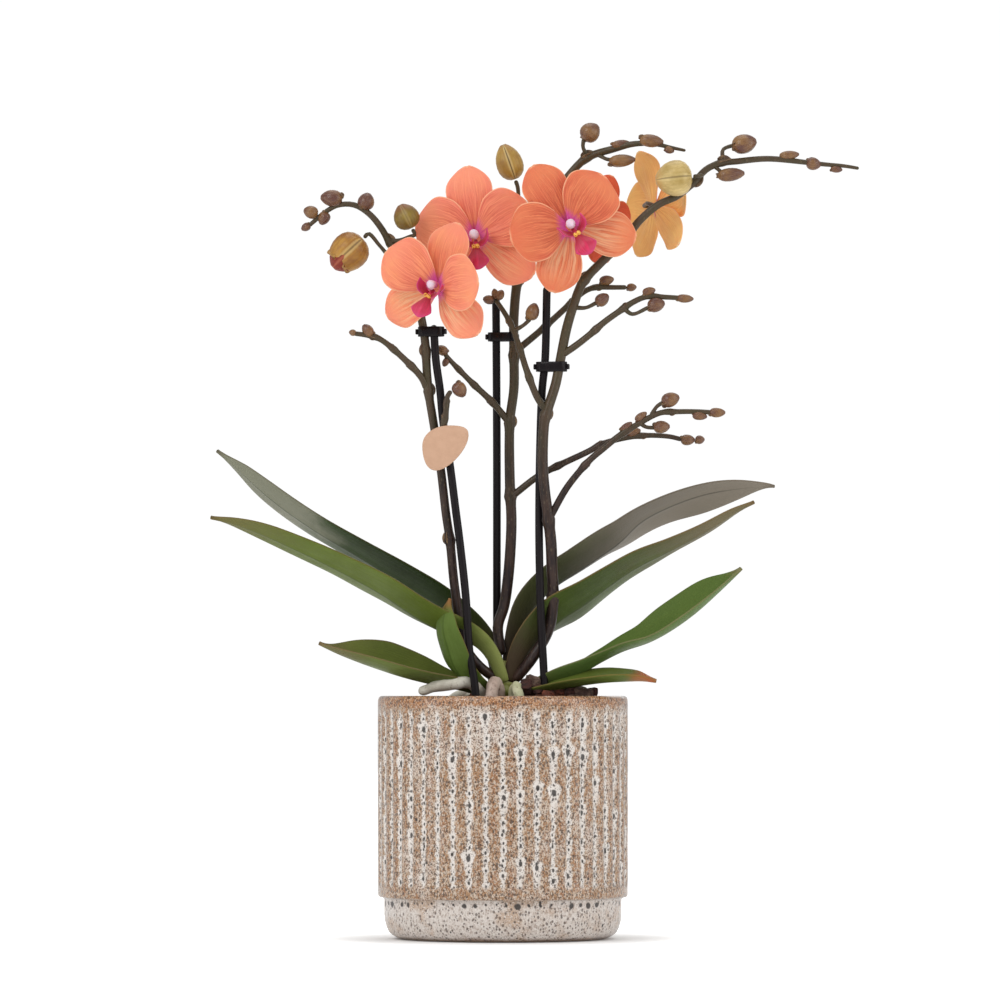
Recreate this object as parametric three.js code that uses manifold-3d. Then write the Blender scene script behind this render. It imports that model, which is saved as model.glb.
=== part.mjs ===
// Potted moth orchid in a ribbed glazed pot. Millimetres, +Z up.
// The origin is the centre of the pot's flat underside; -Y is the front, +X is the viewer's right.
import * as THREE from 'three';
import { mergeVertices } from 'three/addons/utils/BufferGeometryUtils.js';
import Module from 'manifold-3d';

const wasm = await Module();
wasm.setup();

// Driving dimensions
const GAP = 0.3; // between pieces that touch
const POT_RADIUS = 60;
const POT_HEIGHT = 116;
const POT_WALL = 5;
const POT_FLOOR = 5;
const FOOT_RADIUS = 50; // flat underside
const LOWER_RADIUS = 57; // wall below the step
const STEP_HEIGHT = 20;
const FLUTE_COUNT = 46;
const FLUTE_DEPTH = 1.1;
const FLUTE_BOTTOM = 24.5;
const FLUTE_TOP = 107;
const GROW_POT_RADIUS = 46; // at the top, outside
const GROW_POT_FOOT = 38; // at the bottom, outside
const GROW_POT_WALL = 0.9;
const GROW_POT_FLOOR = 1.2;
const GROW_POT_TOP = 108;
const BARK_TOP = 109;
const ROOT_BASE_TOP = 111; // where the roots' base ends and the crown starts
const STICK_RADIUS = 1.9;
const BRANCH_RADIUS = 1.5;
const PEDICEL_RADIUS = 0.9;
const SMALL_BUD = 4.6; // buds narrower than this are drawn with fewer sides
const NODE_SWELL = 1.28; // how much thicker a stem is at a node
const NODE_LENGTH = 4.4;
const LEAF_MID = 2.0; // leaf thickness at the midrib
const LEAF_EDGE = 0.9;
const PETAL_MID = 0.9;
const PETAL_EDGE = 0.7;
const HUB_BACK = 3.4; // how far a bloom's hub stands behind its plane
const HUB_FRONT = 2.4;
const SEAT_RUN = 3; // straight end of a pedicel
const TAG_THICKNESS = 1;

// Colours
const GLAZE = 0xb99670;
const CLEAR_PLASTIC = 0xc9cfc8;
const BARK = 0x4a2f27;
const ROOT = 0xb9b3a0;
const CROWN = 0x7c8a4c;
const LEAF = 0x556e32;
const LEAF_GREY = 0x7a726c;
const LEAF_BRIGHT = 0x41803a;
const STEM = 0x4d4632;
const BUD = 0xa8964e;
const BUD_PETAL = 0xb04a26;
const PETAL = 0xf0916a;
const LIP = 0xb4183c;
const COLUMN = 0xf0dceb;
const STICK = 0x231c20;
const TAG = 0xebc8a5;

const model = new THREE.Group();

// Shape helpers

// One mesh of the part, in its own material.
function addPiece(name, solid, color, roughness) {
  const { vertProperties, triVerts } = solid.getMesh();
  const geometry = new THREE.BufferGeometry();
  geometry.setAttribute('position', new THREE.BufferAttribute(vertProperties, 3));
  geometry.setIndex(new THREE.BufferAttribute(triVerts, 1));
  geometry.computeVertexNormals();
  const material = new THREE.MeshStandardMaterial({ color, roughness, metalness: 0 });
  const mesh = new THREE.Mesh(geometry, material);
  mesh.name = name;
  model.add(mesh);
}

// A closed three.js geometry as a solid.
function solidOf(geometry) {
  const bare = geometry.clone();
  bare.deleteAttribute('normal');
  bare.deleteAttribute('uv');
  const merged = mergeVertices(bare, 1e-4);
  const vertProperties = Float32Array.from(merged.attributes.position.array);
  const triVerts = Uint32Array.from(merged.index.array);
  return new wasm.Manifold(new wasm.Mesh({ numProp: 3, vertProperties, triVerts }));
}

const joined = (solids) => wasm.Manifold.union(solids);

// The largest body of a solid, without the scraps that a cut leaves.
function mainBody(solid) {
  const bodies = solid.decompose();
  return bodies.reduce((best, body) => (body.volume() > best.volume() ? body : best));
}

// A closed solid through rings of equal, even point counts. The caps and both faces of a thin
// ring are split alike, point i against its opposite, so a waved blade's faces don't cross.
function ringSolid(rings) {
  const count = rings[0].length;
  const half = count / 2;
  const index = [];
  const quad = (a, b, c, d) => index.push(a, b, c, a, c, d);
  for (let ring = 0; ring < rings.length - 1; ring += 1) {
    const base = ring * count;
    for (let i = 0; i < count; i += 1) {
      const next = (i + 1) % count;
      if (i < half) quad(base + i, base + next, base + count + next, base + count + i);
      else quad(base + next, base + count + next, base + count + i, base + i);
    }
  }
  const last = (rings.length - 1) * count;
  for (let i = 0; i < half - 1; i += 1) {
    const opposite = count - 1 - i;
    quad(i, opposite, opposite - 1, i + 1);
    quad(last + i, last + i + 1, last + opposite - 1, last + opposite);
  }
  const geometry = new THREE.BufferGeometry().setFromPoints(rings.flat());
  geometry.setIndex(index);
  const solid = solidOf(geometry);
  if (solid.volume() > 0) return solid;
  for (let i = 0; i < index.length; i += 3) [index[i], index[i + 1]] = [index[i + 1], index[i]];
  geometry.setIndex(index);
  return solidOf(geometry);
}

const vector = ([x, y, z]) => new THREE.Vector3(x, y, z);

const route = (points) => new THREE.CatmullRomCurve3(points.map(vector), false, 'centripetal');

// The value at u (0 to 1) of a list of values spread evenly along a piece.
function along(values, u) {
  if (values.length === 1) return values[0];
  const place = u * (values.length - 1);
  const low = Math.min(Math.floor(place), values.length - 2);
  return THREE.MathUtils.lerp(values[low], values[low + 1], place - low);
}

// Where along a curve a place lies, from 0 to 1.
function nearestShare(curve, place) {
  const count = 240;
  const target = vector(place);
  const gaps = curve.getSpacedPoints(count).map((spot) => spot.distanceTo(target));
  return THREE.MathUtils.clamp(gaps.indexOf(Math.min(...gaps)) / count, 0.02, 0.98);
}

// A round tapered stalk along points, swollen at its nodes. grow makes it fatter and longer,
// for cutting clearance.
function stalk(points, radii, sides, steps, { grow = 0, nodes = [] } = {}) {
  const curve = route(points);
  const stops = Array.from({ length: steps + 1 }, (_, step) => ({ u: step / steps, swell: 1 }));
  const reach = NODE_LENGTH / 2 / curve.getLength();
  nodes.forEach((place) => {
    const u = nearestShare(curve, place);
    stops.push({ u: u - reach, swell: 1.04 }, { u, swell: NODE_SWELL }, { u: u + reach, swell: 1 });
  });
  stops.sort((one, other) => one.u - other.u);
  let normal = null;
  const rings = stops.map(({ u, swell }, stop) => {
    const tangent = curve.getTangentAt(u);
    if (!normal) normal = new THREE.Vector3(tangent.z, 0, -tangent.x).addScalar(1e-3);
    normal.addScaledVector(tangent, -tangent.dot(normal)).normalize();
    const binormal = tangent.clone().cross(normal);
    const centre = curve.getPointAt(u);
    if (stop === 0) centre.addScaledVector(tangent, -grow);
    if (stop === stops.length - 1) centre.addScaledVector(tangent, grow);
    const radius = along(radii, u) * swell + grow;
    return Array.from({ length: sides }, (_, side) => {
      const turn = (side / sides) * Math.PI * 2;
      return centre.clone()
        .addScaledVector(normal, Math.cos(turn) * radius)
        .addScaledVector(binormal, Math.sin(turn) * radius);
    });
  });
  return ringSolid(rings);
}

// A rounded bud about a centre, pointing along a direction.
function bud(centre, direction, length, width, sides = 6) {
  const axis = vector(direction).normalize().multiplyScalar(length / 2);
  const start = vector(centre).sub(axis);
  const end = vector(centre).add(axis);
  const radii = [0.42, 0.98, 0.9, 0.3].map((share) => (share * width) / 2);
  return stalk([start.toArray(), end.toArray()], radii, sides, 3);
}

// A thin blade along points. side is the direction of its +v edge, hand picks the upper face,
// widths are half widths, folds lift both edges above the midrib and rolls turn the section
// about the midrib, in degrees. grow thickens and widens it, for cutting clearance.
function blade(shape, grow = 0) {
  const { points, side, hand, widths, folds, rolls, wave = 0, mid, edge, across, steps } = shape;
  const curve = route(points);
  const rings = [];
  for (let step = 0; step <= steps; step += 1) {
    const u = step / steps;
    const centre = curve.getPointAt(u);
    const tangent = curve.getTangentAt(u);
    const right = vector(side).addScaledVector(tangent, -tangent.dot(vector(side))).normalize();
    const up = tangent.clone().cross(right).multiplyScalar(hand);
    const roll = THREE.MathUtils.degToRad(along(rolls, u)) * hand;
    right.applyAxisAngle(tangent, roll);
    up.applyAxisAngle(tangent, roll);
    const fold = THREE.MathUtils.degToRad(along(folds, u));
    const width = along(widths, u) + grow;
    const upper = [];
    const lower = [];
    for (let i = 0; i < across; i += 1) {
      const v = (2 * i) / (across - 1) - 1;
      const bend = Math.abs(v) ** 1.4;
      const ripple = wave * v * v * Math.sin(u * 9 + v * 2);
      const place = centre.clone()
        .addScaledVector(right, v * width * Math.cos(fold * Math.abs(v)))
        .addScaledVector(up, bend * width * Math.sin(fold) + ripple);
      const thick = (edge + (mid - edge) * (1 - v * v)) / 2 + grow;
      upper.push(place.clone().addScaledVector(up, thick));
      lower.unshift(place.clone().addScaledVector(up, -thick));
    }
    rings.push([...upper, ...lower]);
  }
  return ringSolid(rings);
}

// Cover pot

// Radius, height and points per flute of each row of the pot's skin, from the foot over the rim
// to the inside of the floor. A fluted row has a peak and a valley for each flute, and the
// inside has one point for two flutes.
const POT_INSIDE = POT_RADIUS - POT_WALL;
const POT_ROWS = [
  [FOOT_RADIUS, 0, 1],
  [FOOT_RADIUS + 3, 1.2, 1],
  [LOWER_RADIUS - 0.8, 6, 1],
  [LOWER_RADIUS, 11, 1],
  [LOWER_RADIUS, STEP_HEIGHT - 0.8, 1],
  [POT_RADIUS - 0.4, STEP_HEIGHT, 1],
  [POT_RADIUS, STEP_HEIGHT + 1.2, 1],
  [POT_RADIUS, FLUTE_BOTTOM - 1.5, 1],
  [POT_RADIUS, FLUTE_BOTTOM + 0.5, 2],
  [POT_RADIUS, FLUTE_TOP - 0.5, 2],
  [POT_RADIUS, FLUTE_TOP + 1.5, 1],
  [POT_RADIUS, POT_HEIGHT - 1.4, 1],
  [POT_RADIUS - 1.2, POT_HEIGHT, 1],
  [POT_INSIDE + 1.2, POT_HEIGHT, 1],
  [POT_INSIDE, POT_HEIGHT - 1.4, 0.5],
  [POT_INSIDE - 4, POT_FLOOR + 4, 0.5],
  [POT_INSIDE - 9, POT_FLOOR, 0.5],
];

function potGeometry() {
  const points = [];
  const index = [];
  const rows = POT_ROWS.map(([radius, height, share]) => {
    const count = FLUTE_COUNT * share;
    const depth = share === 2 ? FLUTE_DEPTH : 0;
    const first = points.length;
    for (let i = 0; i < count; i += 1) {
      const turn = (i / count) * Math.PI * 2;
      const reach = radius - (i % 2 ? depth : 0);
      points.push(new THREE.Vector3(Math.cos(turn) * reach, Math.sin(turn) * reach, height));
    }
    return { count, at: (i) => first + (i % count) };
  });
  for (let row = 0; row < rows.length - 1; row += 1) {
    const low = rows[row];
    const high = rows[row + 1];
    for (let i = 0; i < Math.min(low.count, high.count); i += 1) {
      if (low.count === high.count) {
        index.push(low.at(i), low.at(i + 1), high.at(i + 1), low.at(i), high.at(i + 1), high.at(i));
      } else if (low.count < high.count) {
        const middle = high.at(2 * i + 1);
        index.push(low.at(i), low.at(i + 1), middle, low.at(i), middle, high.at(2 * i));
        index.push(low.at(i + 1), high.at(2 * i + 2), middle);
      } else {
        const middle = low.at(2 * i + 1);
        index.push(low.at(2 * i), middle, high.at(i), middle, high.at(i + 1), high.at(i));
        index.push(middle, low.at(2 * i + 2), high.at(i + 1));
      }
    }
  }
  const disc = (row, height, up) => {
    const centre = points.push(new THREE.Vector3(0, 0, height)) - 1;
    for (let i = 0; i < row.count; i += 1) {
      if (up) index.push(centre, row.at(i), row.at(i + 1));
      else index.push(centre, row.at(i + 1), row.at(i));
    }
  };
  disc(rows[0], 0, false);
  disc(rows[rows.length - 1], POT_FLOOR, true);
  return new THREE.BufferGeometry().setFromPoints(points).setIndex(index);
}

// Grow pot: a thin tapered cup with a turned-out rim, standing on the cover pot's floor.
function growPotGeometry() {
  const bottom = POT_FLOOR + GAP;
  const profile = [
    [0, bottom],
    [GROW_POT_FOOT, bottom],
    [GROW_POT_RADIUS, GROW_POT_TOP - 3],
    [GROW_POT_RADIUS + 2, GROW_POT_TOP - 3],
    [GROW_POT_RADIUS + 2, GROW_POT_TOP],
    [GROW_POT_RADIUS - GROW_POT_WALL, GROW_POT_TOP],
    [GROW_POT_FOOT - GROW_POT_WALL, bottom + GROW_POT_FLOOR],
    [0, bottom + GROW_POT_FLOOR],
  ].map(([r, z]) => new THREE.Vector2(r, z));
  return new THREE.LatheGeometry(profile, 24).rotateX(Math.PI / 2);
}

// Crown, roots and sticks

// The crown stands on the roots' base, and the leaves clasp it.
const crownSolid = (grow = 0) => stalk(
  [[0.6, 0, ROOT_BASE_TOP + GAP], [0.2, 0, 122], [0, 1, 133]],
  [6, 7.5, 7, 4.5], 8, 4, { grow });

// Each root leaves the base low down and runs over or into the bark.
const ROOTS = [
  {
    points: [[-2, -1, 104], [-7, -7, 109], [-11, -12.5, 118], [-16.4, -16.5, 122.2],
      [-23.6, -19, 122], [-33.2, -21, 120.2], [-40.2, -20.5, 117.6]],
    radii: [2, 2.4, 2.7, 3, 3.1, 3, 2],
  },
  {
    points: [[0, -2, 104], [-1, -9.5, 111], [-2, -11.5, 118.6], [-3.6, -14, 122.6], [-5, -17.5, 119.4],
      [-5.6, -21.5, 112], [-4.6, -25, 102]],
    radii: [2.2, 2.6, 3, 3.2, 3.1, 2.7, 2],
  },
  {
    points: [[1, -2, 104], [4.6, -9.5, 111], [5.2, -12.5, 118], [6.2, -15.5, 120.6], [7.4, -18.6, 117.6],
      [8.4, -21.6, 111], [9.2, -24, 102]],
    radii: [2, 2.4, 2.5, 2.6, 2.5, 2.2, 1.8],
  },
  {
    points: [[3, -1, 104], [11, -4, 110], [21, -7, 115], [31.7, -13, 118.4], [39, -16.5, 118],
      [41, -17.5, 114.6]],
    radii: [2, 2.2, 2.4, 2.5, 2.6, 1.8],
  },
  {
    points: [[-1, 2, 104], [-6, 10, 111], [-13, 21, 116], [-21, 28, 116.5], [-27, 29, 112],
      [-29, 28, 104]],
    radii: [2, 2.3, 2.4, 2.3, 1.8],
  },
  {
    points: [[1, 2, 104], [8, 9, 111], [16, 17, 116], [25, 24, 116.5], [31, 25, 112], [33, 24, 104]],
    radii: [2, 2.2, 2.4, 2.2, 1.8],
  },
];

function rootSolid(grow = 0) {
  const base = stalk([[1, 0, 94], [0.6, 0, ROOT_BASE_TOP]], [4.5, 6], 8, 2, { grow });
  return joined([base, ...ROOTS.map(({ points, radii }) => stalk(points, radii, 6, 6, { grow }))]);
}

// Support sticks, each with its top first and its lower end in the bark.
const STICKS = {
  stick_centre: [[-3.4, 4.5, 311], [-3.2, 5.5, 289], [-2.9, 9, 232], [-2.9, 12.5, 165], [-2.9, 15, 120],
    [-2.9, 17, 40]],
  stick_right: [[21.1, -7, 312.4], [20.2, -8, 276.5], [18.7, -8.4, 261.5], [17.3, -10, 199.8],
    [18.2, -11.4, 153], [19.7, -12.5, 121.9], [20, -13, 40]],
  stick_left: [[-33.1, -14, 293.4], [-32.1, -14, 276.8], [-30.1, -14, 262.6], [-28.7, -14.5, 247.8],
    [-25.6, -15.3, 228.4], [-22.4, -16.5, 203.5], [-20.6, -17.5, 189.6], [-17.7, -19, 163],
    [-15.9, -20.3, 136.8], [-13.2, -21, 119], [-10.5, -21, 45]],
};

const stickSolid = (name, grow = 0) => stalk(STICKS[name], [STICK_RADIUS], 6, 12, { grow });

// A repeatable draw between 0 and 1.
function seeded(seed) {
  let state = seed;
  return () => {
    state = (state * 16807) % 2147483647;
    return state / 2147483647;
  };
}

// Bark: a mound of coarse chunks with plain holes for the crown, the roots and the sticks.
const BARK_RINGS = [{ share: 0.34, count: 4 }, { share: 0.72, count: 8 }];
const BARK_SEED = 7;
const BARK_HEAD = 14; // room for chunks above the grow pot's rim
// Chunks heaped against the crown and along the right: x, y, height, length and turn in degrees.
const BARK_HEAP = [
  [12.5, -12.5, 116.5, 9, 30], [15.5, -16, 113.5, 10, -20], [24, -15.5, 114, 10, 15],
  [31.5, -20, 113.6, 9, -35], [37, -15, 113.5, 10, 60], [-12, 13, 113, 10, 10],
];

function barkSolid() {
  const random = seeded(BARK_SEED);
  const bottom = POT_FLOOR + GAP + GROW_POT_FLOOR + GAP;
  const foot = GROW_POT_FOOT - GROW_POT_WALL - GAP;
  const rim = GROW_POT_RADIUS - GROW_POT_WALL - GAP;
  const profile = [[0, bottom], [foot, bottom], [rim - 1, BARK_TOP - 7], [rim * 0.8, BARK_TOP],
    [rim * 0.4, BARK_TOP + 3], [0, BARK_TOP + 4]].map(([r, z]) => new THREE.Vector2(r, z));
  const chunks = [solidOf(new THREE.LatheGeometry(profile, 12).rotateX(Math.PI / 2))];
  BARK_RINGS.forEach(({ share, count }) => {
    for (let i = 0; i < count; i += 1) {
      const turn = ((i + random() * 0.5) / count) * Math.PI * 2;
      const chunk = new THREE.BoxGeometry(8 + random() * 6, 6 + random() * 4, 5 + random() * 3);
      chunk.rotateX((random() - 0.5) * 0.9);
      chunk.rotateY((random() - 0.5) * 0.9);
      chunk.rotateZ(random() * Math.PI);
      const height = BARK_TOP + 4 - share * 4 + random() * 1.5;
      chunk.translate(Math.cos(turn) * rim * share, Math.sin(turn) * rim * share, height);
      chunks.push(solidOf(chunk));
    }
  });
  BARK_HEAP.forEach(([x, y, z, length, turn]) => {
    const chunk = new THREE.BoxGeometry(length, 6.5, 6.5).rotateY(0.3);
    chunk.rotateZ(THREE.MathUtils.degToRad(turn)).translate(x, y, z);
    chunks.push(solidOf(chunk));
  });
  const sticks = Object.keys(STICKS).map((name) => stickSolid(name, GAP));
  const leaves = Object.keys(LEAVES).map((name) => leafSolid(name, GAP));
  const tall = GROW_POT_TOP + BARK_HEAD - bottom;
  const mouth = new THREE.CylinderGeometry(rim, foot, tall, 12).rotateX(Math.PI / 2);
  mouth.translate(0, 0, bottom + tall / 2);
  const mound = joined(chunks).intersect(solidOf(mouth));
  return mainBody(mound.subtract(joined([crownSolid(GAP), rootSolid(GAP), ...sticks, ...leaves])));
}

// Leaves, from the outermost pair of the crown inwards. Points run from the crown to the tip.
// A positive roll raises the front edge.

const LEAVES = {
  leaf_left_long_front: {
    points: [[-1.5, -5, 122], [-3.5, -6, 128], [-6.5, -7, 134.5], [-12, -8, 140.5], [-20.6, -9.5, 144.6],
      [-30.8, -11, 148.5], [-43, -12.5, 155.5], [-56.2, -14, 164.6], [-79, -16, 177.2], [-97, -18, 186],
      [-114.8, -20, 194], [-129.5, -21, 199.1], [-139.5, -21.5, 201.1]],
    widths: [5, 7, 12, 16.5, 18.5, 18.5, 16.5, 13.5, 10.5, 6.5, 1.6],
    folds: [60, 50, 32, 16, 10, 7, 6, 5, 4, 4, 4],
    rolls: [0, 8, 16, 19, 20, 20, 19.5, 21, 22, 24, 24],
    hand: -1,
    color: LEAF,
  },
  leaf_right_front: {
    points: [[5, -4.5, 122], [8, -4.5, 131], [13, -3.5, 139.5], [20, -1, 147], [26.9, 1, 153],
      [38.4, 2.5, 160.5], [49.7, 3.5, 169], [62.9, 4.5, 178], [79.2, 5, 186.3], [97.9, 5, 196.2],
      [112.3, 5, 205.2], [121, 5, 209.3]],
    widths: [5, 9, 14, 18, 18.5, 17.5, 15.5, 12.5, 9.5, 6, 2],
    folds: [60, 44, 26, 12, 8, 6, 5, 5, 4, 4, 4],
    rolls: [8, 20, 28, 28, 23, 20, 19, 15, 14, 16, 16],
    hand: 1,
    color: LEAF,
  },
  leaf_left_upright: {
    points: [[-5, -7, 116], [-11, -11, 119.5], [-16.8, -15, 123.6], [-22, -18, 129.4],
      [-25.7, -20, 139.7], [-27.7, -20.5, 148.2], [-26.9, -20.5, 156.5], [-25.2, -20, 162.4]],
    widths: [4, 5.5, 7.8, 8.8, 8.4, 7, 4.8, 1.5],
    folds: [40, 30, 22, 16, 12],
    rolls: [0],
    hand: -1,
    color: LEAF_BRIGHT,
    side: [0.8, -0.6, 0],
  },
  leaf_right_lowest: {
    points: [[7, -7, 114.5], [14, -12, 117], [24, -17, 119.4], [36, -20, 121.9], [49, -22, 123.6],
      [60.2, -23, 124.1], [67, -24, 124], [73, -24, 123.1]],
    widths: [4, 5, 7, 9.5, 11, 11, 9, 6, 1.8],
    folds: [40, 30, 22, 20, 18],
    rolls: [0, -4, -8, -10, -10],
    hand: 1,
    color: LEAF_BRIGHT,
  },
  leaf_left_short: {
    points: [[-5, -2, 115.5], [-12, -5.5, 117.6], [-20, -9, 119.8], [-32.4, -13, 122.2], [-47.4, -17, 126],
      [-60.4, -20.5, 130.3], [-76.8, -24, 136.4], [-87.6, -25, 141.2]],
    widths: [4.5, 7, 11, 14.5, 16.5, 17, 14, 8.5, 1.6],
    folds: [45, 38, 34, 32, 30, 26],
    rolls: [0, -8, -14, -17, -18, -16],
    hand: -1,
    color: LEAF,
  },
  leaf_right_middle: {
    points: [[6.5, -2, 115.5], [14, -5.5, 118.6], [26.5, -9, 122.6], [38.1, -12, 128.2], [45.5, -14, 132.6],
      [56.5, -16, 138.2], [68.9, -18, 142.4], [79.3, -20, 148], [91.3, -21, 156.6], [101.5, -22, 165.8],
      [109.4, -22, 173], [113.7, -22, 176.9]],
    widths: [4.5, 7, 9.5, 9, 9, 12, 15, 15.5, 14.5, 9.5, 1.8],
    folds: [45, 40, 38, 34, 28, 26, 26, 26, 24, 20, 14],
    rolls: [0, 6, 8, 4, -4, -12, -19, -20, -20, -20, -16],
    hand: 1,
    color: LEAF_BRIGHT,
  },
  leaf_left_long_back: {
    points: [[-4, 5, 122], [-6.4, 8, 135], [-12, 11, 144.6], [-23.2, 14, 154.3], [-32, 15, 161],
      [-48.3, 18, 171], [-66.2, 20.5, 182.2], [-90, 24, 196.5], [-107, 26, 208.3], [-117.7, 27, 217],
      [-127, 28, 225.6], [-138.8, 30, 235]],
    widths: [5, 8, 12, 16, 18, 18, 17.5, 16, 13, 8, 1.8],
    folds: [60, 46, 30, 16, 10, 6, 5, 4, 4, 4, 4],
    rolls: [4, 10, 16, 20, 20, 19, 17.5, 18, 20, 24, 24],
    hand: -1,
    color: LEAF,
  },
  leaf_right_top: {
    points: [[4, 5, 122], [6.5, 8, 136], [9.5, 11, 147.5], [14.5, 14, 159.4], [26.2, 17, 170.7],
      [35, 19, 176.3], [46.5, 21, 184.1], [56, 23, 190.9], [65.8, 25, 200.7], [80.4, 27, 208.6],
      [99.5, 29, 215], [126.9, 31, 218.1], [132, 31.5, 217.5]],
    widths: [5, 8, 12, 16, 18, 18, 16.8, 15, 12.4, 8, 2],
    folds: [60, 46, 32, 22, 18, 14, -2, -8, -16, -15, -10],
    rolls: [8, 14, 18, 19, 19, 20, 22, 25, 33, 38, 38],
    hand: 1,
    color: LEAF_GREY,
  },
};

function leafSolid(name, grow = 0) {
  const { color, hand, ...shape } = LEAVES[name];
  const section = { mid: LEAF_MID, edge: LEAF_EDGE, across: 5, steps: 10 };
  return blade({ side: [0, -1, 0], ...shape, ...section, hand: -hand }, grow);
}

// Flower spikes: one stem each, with its branches, pedicels, small buds and nodes.

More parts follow.
